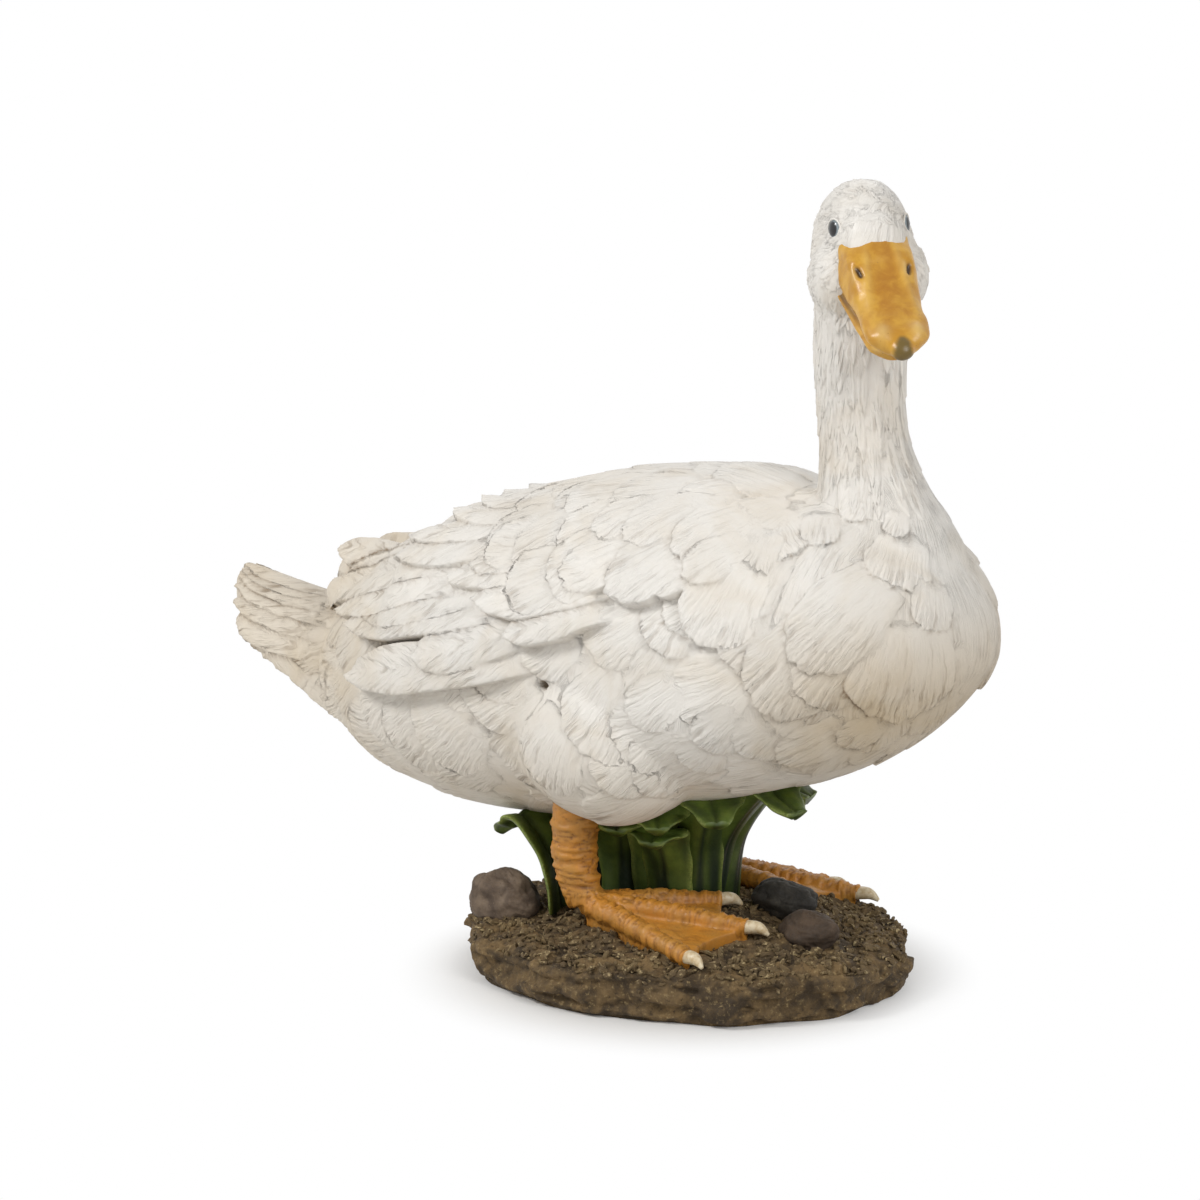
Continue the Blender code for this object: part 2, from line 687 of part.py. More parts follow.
class Skin:
    """The bird's worked surface, for laying feathers on."""

    def __init__(self, obj):
        self.mesh = obj.data
        self.points = corners_of(self.mesh)
        self.normals = normals_of(self.mesh)
        self.tree = BVHTree.FromPolygons(
            [tuple(p) for p in self.points], [tuple(face.vertices) for face in self.mesh.polygons]
        )
        self.height = np.zeros(len(self.points))

    def place(self, share, around, side):
        """Point of the skin at a share of the body's length and an angle round it from the back, in degrees.

        Ahead of BREAST_ROUND the places fan round the front of the breast.
        """
        keel, back, waist, half = body_station(min(share, BREAST_ROUND))
        turn = math.radians(around)
        ahead = math.radians(90 * max(0.0, share - BREAST_ROUND) / (1 - BREAST_ROUND))
        out = math.cos(ahead)
        way = Vector((math.sin(ahead), side * math.sin(turn) * out, math.cos(turn) * out))
        middle = Vector((RUMP_X + min(share, BREAST_ROUND) * BODY_LENGTH, 0.0, (keel + back) / 2))
        return self.tree.ray_cast(middle + way * FAR_OUT, -way)[0]

    def side_place(self, share, height, side):
        """Point of the skin seen from the side, at shares of the body's length and depth."""
        start = Vector((RUMP_X + share * BODY_LENGTH, side * FAR_OUT, KEEL_Z + height * BODY_DEPTH))
        return self.tree.ray_cast(start, Vector((0.0, -side, 0.0)))[0]

    def flow(self, point):
        """The way feathers lie there: away from the root of the neck."""
        return (point - FEATHERS_FLOW_FROM).normalized()

    def trace(self, start, length, heading=None, steps=7):
        """Points along the skin from a feather's root to its tip, with the outward direction at each."""
        here, out = self.tree.find_nearest(start)[:2]
        line = [here]
        outs = [out]
        for _ in range(steps):
            way = heading or self.flow(here)
            way = (way - out * way.dot(out)).normalized()
            here, out = self.tree.find_nearest(here + way * (length / steps))[:2]
            line.append(here)
            outs.append(out)
        return np.array(line), np.array(outs)

    def lay(self, start, length, width, lift, heading=None, pointed=0.0, on_wing=False):
        """Raises one feather, thin at its root and standing up at its tip, over those laid before."""
        self.stamp(*self.trace(start, length, heading), length, width, lift, pointed, on_wing)

    def lay_back(self, tip, length, width, lift, heading, pointed=0.0):
        """Raises one wing feather whose tip is known."""
        line, outs = self.trace(tip, length, -heading)
        self.stamp(line[::-1], outs[::-1], length, width, lift, pointed, True)

    def stamp(self, line, outs, length, width, lift, pointed, on_wing):
        """Sets the height of the skin under a feather that follows a line."""
        middle = line.mean(axis=0)
        near = np.flatnonzero(np.linalg.norm(self.points - middle, axis=1) < length * 0.5 + width)
        if not len(near):
            return
        points = self.points[near]
        best = np.full(len(near), np.inf)
        along = np.zeros(len(near))
        across = np.zeros(len(near))
        pieces = len(line) - 1
        for k in range(pieces):
            way = line[k + 1] - line[k]
            size = np.linalg.norm(way)
            way = way / max(size, 1e-9)
            side = np.cross(outs[k], way)
            from_start = points - line[k]
            share = from_start @ way / max(size, 1e-9)
            low = -9.0 if k == 0 else 0.0
            high = 9.0 if k == pieces - 1 else 1.0
            held = np.clip(share, low, high)
            gap = np.linalg.norm(from_start - held[:, None] * size * way, axis=1)
            closer = gap < best
            best = np.where(closer, gap, best)
            along = np.where(closer, (k + held) / pieces, along)
            across = np.where(closer, from_start @ side, across)
        on_it = (along > 0) & (along < 1) & ((points - middle) @ outs[pieces // 2] > -width)
        along = np.clip(along, 0, 1)
        half = width / 2 * feather_outline(along, pointed)
        inside = np.clip((half - np.abs(across)) / FEATHER_EDGE + 0.5, 0, 1) * on_it
        inside = inside * inside * (3 - 2 * inside) * np.clip(along * 4, 0, 1)
        crown = 1 - 0.35 * (across / np.maximum(half, 1e-4)) ** 2
        raised = lift * (0.12 + 0.88 * along**1.3) * np.clip(crown, 0.3, 1)
        if on_wing:
            raised += WING_STANDS_OUT * np.clip((NECK_BACK_X - points[:, 0]) / WING_FADE, 0, 1)
        self.height[near] += (raised - self.height[near]) * inside

    def raise_feathers(self):
        """Moves the skin out by what the feathers stand above it."""
        raised = self.points + self.normals * self.height[:, None]
        self.mesh.vertices.foreach_set("co", raised.astype(np.float32).ravel())
        self.mesh.update()


def feather_outline(along, pointed):
    """Half width of a feather at a share of its length, as a share of its widest."""
    root = 0.55 + 0.45 * np.clip(along / 0.5, 0, 1) ** 0.8
    tip = np.clip((along - 0.62) / 0.38, 0, 1)
    round_end = np.sqrt(np.clip(1 - tip**2.4, 0, 1))
    sharp_end = 1 - tip**1.6
    return root * ((1 - pointed) * round_end + pointed * sharp_end)


def lay_small_feathers(skin):
    """Scalloped feathers of the rump, belly, flank, back and breast, each lapping the one behind it."""
    dice = np.random.default_rng(7)
    roots = []
    for row, (share, length, width) in enumerate(SCALLOP_ROWS):
        length *= SCALLOP_LENGTH
        width *= SCALLOP_LENGTH
        keel, back, waist, half = body_station(min(share, BREAST_ROUND))
        ahead = max(0.0, share - BREAST_ROUND) / (1 - BREAST_ROUND)
        girth = math.pi * (half + (back - keel) / 2) * math.cos(math.pi / 2 * ahead)
        count = max(3, round(girth / 2 / width))
        for k in range(count):
            around = 180 * (k + 0.5 * (row % 2) + 0.25 * dice.uniform(-1, 1)) / count
            for side in (-1, 1):
                place = skin.place(share + 0.008 * dice.uniform(-1, 1), around, side)
                grow = 1 + 0.16 * dice.uniform(-1, 1)
                if place is not None and place.z < BACK_Z:
                    roots.append((place, length * 1.35 * grow, width * 1.22 * grow))
    roots.sort(key=lambda root: -(root[0] - FEATHERS_FLOW_FROM).length)
    for place, length, width in roots:
        skin.lay(place, length, width, FEATHER_LIFT)


def lay_tail_feathers(skin):
    """Long feathers of the tail, the middle pair on top."""
    for k in range(6, -1, -1):
        share = k / 6
        for side in (-1, 1) if k else (1,):
            start = Vector((RUMP_X + 0.09 * TAIL_LENGTH, side * share * 0.47 * TAIL_WIDTH, BACK_Z))
            root = skin.tree.ray_cast(start, Vector((0, 0, -1)))[0]
            if root is not None:
                heading = Vector((-1.0, -side * 0.06 * share, 0.16 + 0.10 * share))
                length = TAIL_LENGTH * (1.06 - 0.14 * share)
                skin.lay(root, length, TAIL_FEATHER_WIDTH, FEATHER_LIFT, heading, 0.30)


def lay_wing_feathers(skin):
    """Long feathers of the folded wing, then its coverts, each row over the one behind it."""
    for count, high, low, length, width, slopes in WING_ROWS:
        for k in range(count - 1, -1, -1):
            t = k / (count - 1)
            share = high[0] + (low[0] - high[0]) * t
            height = high[1] + (low[1] - high[1]) * t
            for side in (-1, 1):
                tip = skin.side_place(share, height, side)
                if tip is not None:
                    slope = slopes[0] + (slopes[1] - slopes[0]) * t
                    sizes = (length * WING_FEATHER_LENGTH, width * WING_FEATHER_WIDTH)
                    skin.lay_back(tip, *sizes, FEATHER_LIFT, Vector((-1.0, 0.0, slope)), 0.12)


def lay_shoulder_feathers(skin):
    """Broad feathers over the shoulders and the front of the back, lying over the wings."""
    dice = np.random.default_rng(11)
    for row, share in enumerate((0.47, 0.53, 0.59, 0.65, 0.71, 0.77)):
        for k in range(4):
            around = 5 + 14 * k + 7 * (row % 2) + 3 * dice.uniform(-1, 1)
            for side in (-1, 1):
                start = skin.place(share, around, side)
                if start is not None and start.z < BACK_Z:
                    grow = 1 + 0.12 * dice.uniform(-1, 1)
                    sizes = (SHOULDER_FEATHER_LENGTH * grow, SHOULDER_FEATHER_WIDTH * grow)
                    skin.lay(start, *sizes, FEATHER_LIFT, on_wing=True)


def bird_skin():
    """The feathered bird without its bill, eyes and legs."""
    forms = [body_form(), tail_form(), neck_form(), head_form()]
    for side in (-1, 1):
        forms += [thigh_form(side), wing_tip_form(side), cheek_form(side)]
    obj = fused("bird_skin", joined(forms), SKIN_STEP, 8)
    skin = Skin(obj)
    lay_small_feathers(skin)
    lay_tail_feathers(skin)
    lay_wing_feathers(skin)
    lay_shoulder_feathers(skin)
    skin.raise_feathers()
    return obj


def foot_forms(side):
    """Toes, claws and web of one foot, with its leg, as orange forms and claw forms."""
    tips = toe_tips(side)
    orange = [leg_form(side), hind_toe_form(side), web_form(side)] + [toe_form(side, tip) for tip in tips]
    return orange, [claw_form(side, tip) for tip in tips]


def form_of(obj):
    """An object's mesh as points and faces."""
    return corners_of(obj.data), [tuple(face.vertices) for face in obj.data.polygons]


def cutter(name, form):
    """Shape that is only cut away with."""
    obj = mesh_object(name, form)
    obj.hide_render = True
    obj.display_type = "WIRE"
    return obj


def box_form(low, high):
    """Square block between two corners."""
    shape = bmesh.new()
    bmesh.ops.create_cube(shape, size=1.0)
    low = np.asarray(low)
    high = np.asarray(high)
    points = np.array([v.co for v in shape.verts]) * (high - low) + (low + high) / 2
    faces = [tuple(v.index for v in face.verts) for face in shape.faces]
    shape.free()
    return points, faces


def vent_form(skin_tree):
    """Short round bar where the vent hole goes into the right flank."""
    aim = Vector((RUMP_X + 0.495 * BODY_LENGTH, -FAR_OUT, KEEL_Z + 0.455 * BODY_DEPTH))
    mouth = skin_tree.ray_cast(aim, Vector((0, 1, 0)))[0]
    outer = np.array(mouth) - (0.0, VENT_DEPTH, 0.0)
    inner = np.array(mouth) + (0.0, VENT_DEPTH, 0.0)
    return limb((outer, (outer + inner) / 2, inner), (VENT_RADIUS,) * 3, count=12, rows=2)


def paint(obj, groups):
    """Gives each face the colour of the form that it lies nearest to."""
    for paint_of, _ in groups:
        obj.data.materials.append(paint_of)
    trees = [BVHTree.FromPolygons([tuple(p) for p in form[0]], form[1]) for _, form in groups]
    for face in obj.data.polygons:
        gaps = [tree.find_nearest(face.center)[3] for tree in trees]
        face.material_index = int(np.argmin(gaps))


def build_ornament():
    """The whole casting as one solid."""
    skin = bird_skin()
    orange = []
    claws = []
    for side in (-1, 1):
        side_orange, side_claws = foot_forms(side)
        orange += side_orange
        claws += side_claws
    bill = [upper_bill_form(), lower_bill_form(), bill_nail_form()]
    groups = (
        (material("plumage", (0.86, 0.83, 0.77), 0.62), form_of(skin)),
        (material("bill_and_legs", (0.74, 0.36, 0.06), 0.45), joined(bill + orange)),
        (material("claws", (0.80, 0.70, 0.50), 0.50), joined(claws)),
        (material("eyes", (0.03, 0.04, 0.05), 0.15), joined([eye_form(-1), eye_form(1)])),
        (material("leaves", (0.10, 0.20, 0.04), 0.55), joined(leaf_forms())),
        (material("stones", (0.16, 0.13, 0.10), 0.80), joined(stone_forms())),
        (material("earth", (0.19, 0.14, 0.08), 0.90), ground_form()),
    )
    ornament = fused("duck_ornament", joined([form for _, form in groups]), CAST_STEP, 1)
    thin_out = ornament.modifiers.new("thin_out", "DECIMATE")
    thin_out.ratio = CAST_FACES / (2 * len(ornament.data.polygons))
    settle(ornament)
    below = cutter("below_ground", box_form((-FAR_OUT, -FAR_OUT, -GROUND_RIM), (FAR_OUT, FAR_OUT, 0.0)))
    vent = cutter("vent", vent_form(BVHTree.FromPolygons(*form_lists(ornament))))
    for tool in (below, vent):
        cut = ornament.modifiers.new(tool.name, "BOOLEAN")
        cut.operation = "DIFFERENCE"
        cut.object = tool
    settle(ornament)
    paint(ornament, groups)
    ornament.data.shade_smooth()
    ornament.data.set_sharp_from_angle(angle=math.radians(50))
    for helper in (skin, below, vent):
        bpy.data.objects.remove(helper, do_unlink=True)
    return ornament


def form_lists(obj):
    """An object's mesh as lists of points and of faces."""
    points, faces = form_of(obj)
    return [tuple(point) for point in points], faces


clear_scene()
build_ornament()
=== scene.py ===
"""Looks of a white duck garden ornament: carved plumage, painted bill, feet, leaves, stones and earth.

Metres throughout, apart from the places of single broad feathers, which are in millimetres. +X is the way the
body faces, +Y is its left side, +Z is up, and the underside lies at height 0.
"""

import logging
import math
from dataclasses import dataclass, field
from enum import Enum
from typing import Callable, Iterable, Sequence

import bmesh
import bpy
import numpy as np
from mathutils import Matrix, Vector, noise
from mathutils.bvhtree import BVHTree


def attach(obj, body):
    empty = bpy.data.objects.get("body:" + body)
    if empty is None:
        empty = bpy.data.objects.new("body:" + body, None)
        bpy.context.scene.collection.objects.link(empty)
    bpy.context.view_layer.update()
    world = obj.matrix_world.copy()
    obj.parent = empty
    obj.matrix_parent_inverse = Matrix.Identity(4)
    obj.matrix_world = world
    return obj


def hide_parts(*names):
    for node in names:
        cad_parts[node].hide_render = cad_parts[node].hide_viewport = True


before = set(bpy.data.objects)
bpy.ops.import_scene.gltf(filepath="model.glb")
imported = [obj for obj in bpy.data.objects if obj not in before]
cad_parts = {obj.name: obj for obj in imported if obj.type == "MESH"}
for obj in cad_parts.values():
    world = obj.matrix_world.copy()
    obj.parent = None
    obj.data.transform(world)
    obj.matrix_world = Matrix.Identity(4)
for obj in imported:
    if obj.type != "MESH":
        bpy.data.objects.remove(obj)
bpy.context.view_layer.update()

LOG = logging.getLogger("duck_ornament")
NODE = "duck_ornament"
BODY = "root"
SIDES = (-1, 1)

Point = Sequence[float]


# Shapes


@dataclass
class Form:
    """Points and faces of one shape, before it is a mesh."""

    points: np.ndarray
    faces: list[tuple[int, ...]]

    def moved(self, matrix: Matrix) -> "Form":
        """The form carried from its own frame by a matrix."""
        place = np.array(matrix)
        return Form(self.points @ place[:3, :3].T + place[:3, 3], self.faces)

    @staticmethod
    def joined(forms: Iterable["Form"]) -> "Form":
        """Several forms as one.

        Args:
            forms: The forms, which may overlap.

        Returns:
            One form with all their points and faces.
        """
        points: list[np.ndarray] = []
        faces: list[tuple[int, ...]] = []
        first = 0
        for form in forms:
            points.append(form.points)
            faces += [tuple(first + index for index in face) for face in form.faces]
            first += len(form.points)
        return Form(np.concatenate(points), faces)

    def to_object(self, name: str) -> bpy.types.Object:
        """Makes a mesh object of the form, its faces pointing out.

        Args:
            name: Name of the object.

        Returns:
            The object, linked to the scene.
        """
        mesh = bpy.data.meshes.new(name)
        mesh.from_pydata(self.points.tolist(), [], self.faces)
        shape = bmesh.new()
        shape.from_mesh(mesh)
        bmesh.ops.recalc_face_normals(shape, faces=shape.faces)
        shape.to_mesh(mesh)
        shape.free()
        return linked(name, mesh)


def spline(rows: Sequence[Point] | np.ndarray, count: int) -> np.ndarray:
    """Smooth curve through rows of numbers.

    Args:
        rows: The numbers that the curve goes through.
        count: How many even steps it is read at, between the first row and the last.

    Returns:
        One row of numbers for each step.
    """
    rows = np.asarray(rows, float)
    last = len(rows) - 1
    at = np.linspace(0, last, count)
    left = np.minimum(at.astype(int), last - 1)
    t = (at - left)[:, None]
    before, start = rows[np.maximum(left - 1, 0)], rows[left]
    end, after = rows[left + 1], rows[np.minimum(left + 2, last)]
    bend = 2 * before - 5 * start + 4 * end - after
    return start + 0.5 * t * (end - before + t * (bend + t * (3 * (start - end) + after - before)))


def oval(
    count: int, across: float, above: float, below: float, square: float = 2.0, flare: float = 0.0
) -> tuple[np.ndarray, np.ndarray]:
    """Points round an oval, about its widest line.

    Args:
        count: How many points.
        across: Half width.
        above: Height above the widest line.
        below: Depth under it.
        square: 2 is an ellipse, more is squarer.
        flare: Above 0, wider towards the bottom and narrower towards the top.

    Returns:
        The sideways and the upward places.
    """
    turn = np.linspace(0, 2 * math.pi, count, endpoint=False)
    sideways = np.sign(np.cos(turn)) * np.abs(np.cos(turn)) ** (2 / square) * across
    upward = np.sign(np.sin(turn)) * np.abs(np.sin(turn)) ** (2 / square)
    return sideways * (1 - flare * upward), upward * np.where(upward > 0, above, below)


def loft(rings: Sequence[np.ndarray]) -> Form:
    """Closed skin through rings that have the same count of points."""
    count = len(rings[0])
    faces: list[tuple[int, ...]] = []
    for row in range(len(rings) - 1):
        for k in range(count):
            a, b = row * count + k, row * count + (k + 1) % count
            faces.append((a, b, b + count, a + count))
    faces.append(tuple(reversed(range(count))))
    faces.append(tuple(range((len(rings) - 1) * count, len(rings) * count)))
    return Form(np.concatenate(rings), faces)


def limb(path: Sequence[Point] | np.ndarray, radii: Sequence[float], count: int = 28, rows: int = 36) -> Form:
    """Round bar along a path.

    Args:
        path: Points of the path.
        radii: Radius at each.
        count: Points round the bar.
        rows: Rings along it.

    Returns:
        The bar.
    """
    table = spline(np.column_stack([path, radii]), rows)
    along = np.gradient(table[:, :3], axis=0)
    along /= np.linalg.norm(along, axis=1)[:, None]
    turn = np.linspace(0, 2 * math.pi, count, endpoint=False)
    side = np.array((0.0, 0.0, 1.0)) if abs(along[0][1]) > 0.9 else np.array((0.0, 1.0, 0.0))
    rings = []
    for centre, way, radius in zip(table[:, :3], along, table[:, 3]):
        side = side - way * (side @ way)
        side /= np.linalg.norm(side)
        over = np.cross(way, side)
        rings.append(centre + radius * (np.cos(turn)[:, None] * side + np.sin(turn)[:, None] * over))
    return loft(rings)


def ball(centre: Point, sizes: Point, count: int = 40) -> Form:
    """Egg of three half sizes about its centre."""
    shape = bmesh.new()
    bmesh.ops.create_uvsphere(shape, u_segments=count, v_segments=count // 2, radius=1.0)
    points = np.array([v.co for v in shape.verts]) * np.asarray(sizes) + np.asarray(centre)
    faces = [tuple(v.index for v in face.verts) for face in shape.faces]
    shape.free()
    return Form(points, faces)


def rough(points: np.ndarray, size: float, seed: float, octaves: int = 3) -> np.ndarray:
    """Uneven number from about -1 to 1 at each point.

    Args:
        points: Where.
        size: Size of the largest bumps, in metres.
        seed: Picks the pattern.
        octaves: How many finer layers are added.

    Returns:
        One number for each point.
    """
    shift = Vector((seed * 3.7, seed * 1.3, seed * 7.1))
    return np.array([noise.fractal(Vector(p) / size + shift, 1.0, 2.0, octaves) for p in points])


# Meshes


def settle(obj: bpy.types.Object) -> None:
    """Keeps what the modifiers make as the object's own mesh."""
    graph = bpy.context.evaluated_depsgraph_get()
    mesh = bpy.data.meshes.new_from_object(obj.evaluated_get(graph))
    obj.modifiers.clear()
    obj.data = mesh


def halve(obj: bpy.types.Object, levels: int) -> None:
    """Sets the object's faces to be halved a number of times."""
    modifier = obj.modifiers.new("halve", "SUBSURF")
    modifier.levels = modifier.render_levels = levels


def fused(name: str, form: Form, step: float, rounds: int) -> bpy.types.Object:
    """Melts overlapping forms into one skin.

    Args:
        name: Name of the object.
        form: The forms, joined.
        step: Size of the skin's faces.
        rounds: How often it is smoothed.

    Returns:
        The object.
    """
    obj = form.to_object(name)
    melt = obj.modifiers.new("melt", "REMESH")
    melt.mode = "VOXEL"
    melt.voxel_size = step
    soften = obj.modifiers.new("soften", "SMOOTH")
    soften.factor = 0.5
    soften.iterations = rounds
    settle(obj)
    return obj


def thinned(obj: bpy.types.Object, triangles: int) -> None:
    """Takes faces out where the surface is flat, down to a count of triangles."""
    obj.data.calc_loop_triangles()
    have = len(obj.data.loop_triangles)
    if have > triangles:
        thin = obj.modifiers.new("thin", "DECIMATE")
        thin.ratio = triangles / have
        settle(obj)


def points_of(obj: bpy.types.Object) -> np.ndarray:
    """Places of the object's vertices, one row each."""
    flat = np.empty(len(obj.data.vertices) * 3, np.float32)
    obj.data.vertices.foreach_get("co", flat)
    return flat.reshape(-1, 3).astype(float)


def normals_of(obj: bpy.types.Object) -> np.ndarray:
    """Outward directions at the object's vertices, one row each."""
    flat = np.empty(len(obj.data.vertices) * 3, np.float32)
    obj.data.vertex_normals.foreach_get("vector", flat)
    return flat.reshape(-1, 3).astype(float)


def move_points(obj: bpy.types.Object, points: np.ndarray) -> None:
    """Puts the object's vertices at new places."""
    obj.data.vertices.foreach_set("co", points.astype(np.float32).ravel())
    obj.data.update()


def keep(obj: bpy.types.Object, name: str, values: np.ndarray) -> None:
    """Keeps one number for each vertex, for the finish to read."""
    layer = obj.data.attributes.new(name, "FLOAT", "POINT")
    layer.data.foreach_set("value", np.asarray(values, np.float32))


def cut_part(source: bpy.types.Object, name: str, wanted: np.ndarray) -> bpy.types.Object:
    """Copies the part of a skin whose vertices are wanted.

    Args:
        source: The whole skin.
        name: Name of the new object.
        wanted: True at each vertex to keep.

    Returns:
        The new object, linked to the scene.
    """
    shape = bmesh.new()
    shape.from_mesh(source.data)
    shape.verts.ensure_lookup_table()
    bmesh.ops.delete(shape, geom=[v for v in shape.verts if not wanted[v.index]], context="VERTS")
    mesh = bpy.data.meshes.new(name)
    shape.to_mesh(mesh)
    shape.free()
    return linked(name, mesh)


def linked(name: str, data: bpy.types.ID) -> bpy.types.Object:
    """Adds an object with this data to the scene."""
    obj = bpy.data.objects.new(name, data)
    bpy.context.scene.collection.objects.link(obj)
    return obj


def dress(obj: bpy.types.Object, finish: "Finish", sharp: float | None = None) -> bpy.types.Object:
    """Gives a piece its finish and puts it in the part.

    Args:
        obj: The piece.
        finish: Its finish.
        sharp: Angle in degrees above which an edge stays crisp, or None for none.

    Returns:
        The same piece.
    """
    obj.data.materials.clear()
    obj.data.materials.append(finish.material())
    obj.data.shade_smooth()
    if sharp is not None:
        obj.data.set_sharp_from_angle(angle=math.radians(sharp))
    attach(obj, BODY)
    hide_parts(NODE)
    LOG.info("%s: %d faces", obj.name, len(obj.data.polygons))
    return obj


# Finishes

Colour = tuple[float, float, float]


class Shader:
    """One material under way: its main shader and the nodes that feed it."""

    def __init__(self, name: str) -> None:
        """Starts an empty material.

        Args:
            name: Name of the material.
        """
        self.material = bpy.data.materials.new(name)
        self.material.use_nodes = True
        self.tree = self.material.node_tree
        self.main = self.tree.nodes["Principled BSDF"]
        self.place = self.node("ShaderNodeTexCoord").outputs["Object"]

    def node(self, kind: str, **settings: object) -> bpy.types.Node:
        """Adds a node with some of its settings."""
        made = self.tree.nodes.new(kind)
        for name, value in settings.items():
            setattr(made, name, value)
        return made

    def feed(self, socket: bpy.types.NodeSocket, value: object) -> None:
        """Links a socket, or sets its value."""
        if isinstance(value, bpy.types.NodeSocket):
            self.tree.links.new(value, socket)
        elif isinstance(value, tuple) and len(value) == 3 and socket.type == "RGBA":
            socket.default_value = (*value, 1.0)
        else:
            socket.default_value = value

    def set(self, **inputs: object) -> None:
        """Feeds the main shader, each input by its name with _ for a space."""
        for name, value in inputs.items():
            self.feed(self.main.inputs[name.replace("_", " ")], value)

    def kept(self, name: str) -> bpy.types.NodeSocket:
        """A number that the mesh keeps for each vertex."""
        return self.node("ShaderNodeAttribute", attribute_name=name).outputs["Fac"]

    def join(self, x: object, y: object, z: object) -> bpy.types.NodeSocket:
        """Three numbers as a place."""
        made = self.node("ShaderNodeCombineXYZ")
        for socket, value in zip(made.inputs, (x, y, z)):
            self.feed(socket, value)
        return made.outputs[0]

    def split(self) -> tuple[bpy.types.NodeSocket, ...]:
        """The X, Y and Z of a point's place on the part."""
        made = self.node("ShaderNodeSeparateXYZ")
        self.feed(made.inputs[0], self.place)
        return tuple(made.outputs)

    def noise(
        self,
        scale: float,
        detail: float = 3.0,
        place: object = None,
        rough_share: float = 0.55,
        twist: float = 0.0,
    ) -> bpy.types.NodeSocket:
        """Cloudy number.

        Args:
            scale: Bumps to a metre, or to one step of place.
            detail: Finer layers.
            place: Where it is read, or None for the place on the part.
            rough_share: How much the finer layers count.
            twist: How far it is distorted.

        Returns:
            The number, about 0.5.
        """
        made = self.node("ShaderNodeTexNoise")
        self.feed(made.inputs["Vector"], self.place if place is None else place)
        values = {"Scale": scale, "Detail": detail, "Roughness": rough_share, "Distortion": twist}
        for name, value in values.items():
            made.inputs[name].default_value = value
        return made.outputs["Fac"]

    def cells(self, scale: float) -> bpy.types.NodeSocket:
        """Distance to the nearest of many scattered points."""
        made = self.node("ShaderNodeTexVoronoi", feature="F1")
        self.feed(made.inputs["Vector"], self.place)
        made.inputs["Scale"].default_value = scale
        return made.outputs["Distance"]

    def sum(self, operation: str, a: object, b: object = 0.0) -> bpy.types.NodeSocket:
        """One step of arithmetic."""
        made = self.node("ShaderNodeMath", operation=operation)
        self.feed(made.inputs[0], a)
        self.feed(made.inputs[1], b)
        return made.outputs[0]

    def step(
        self, value: object, low: float, high: float, to: tuple[float, float] = (0.0, 1.0)
    ) -> bpy.types.NodeSocket:
        """Smooth rise of a number between two limits.

        Args:
            value: The number.
            low: Where the rise starts.
            high: Where it ends.
            to: What it gives at each end.

        Returns:
            The number that it gives.
        """
        made = self.node("ShaderNodeMapRange", interpolation_type="SMOOTHSTEP")
        for socket, number in zip(made.inputs, (value, low, high, *to)):
            self.feed(socket, number)
        return made.outputs[0]

    def mix(self, share: object, a: object, b: object, blend: str = "MIX") -> bpy.types.NodeSocket:
        """Mixes two colours by a share."""
        made = self.node("ShaderNodeMix", data_type="RGBA", blend_type=blend)
        self.feed(made.inputs[0], share)
        self.feed(made.inputs[6], a)
        self.feed(made.inputs[7], b)
        return made.outputs[2]

    def bump(
        self, height: object, distance: float, under: object = None, strength: object = 1.0
    ) -> bpy.types.NodeSocket:
        """Fine relief in the finish.

        Args:
            height: Height, as a share of the distance.
            distance: Its size in metres.
            under: Relief that it is added to, or None.
            strength: How strongly it shows.

        Returns:
            The direction of the surface.
        """
        made = self.node("ShaderNodeBump")
        self.feed(made.inputs["Height"], height)
        made.inputs["Distance"].default_value = distance
        self.feed(made.inputs["Strength"], strength)
        if under is not None:
            self.feed(made.inputs["Normal"], under)
        return made.outputs[0]


class Finish:
    """A painted surface, made once and shared by the pieces that have it."""

    name = "finish"
    made: dict[str, bpy.types.Material] = {}

    def material(self) -> bpy.types.Material:
        """The finish's material, painted the first time that it is asked for."""
        if self.name not in Finish.made:
            shader = Shader(self.name)
            self.paint(shader)
            Finish.made[self.name] = shader.material
        return Finish.made[self.name]

    def paint(self, shader: Shader) -> None:
        """Builds the nodes."""
        raise NotImplementedError


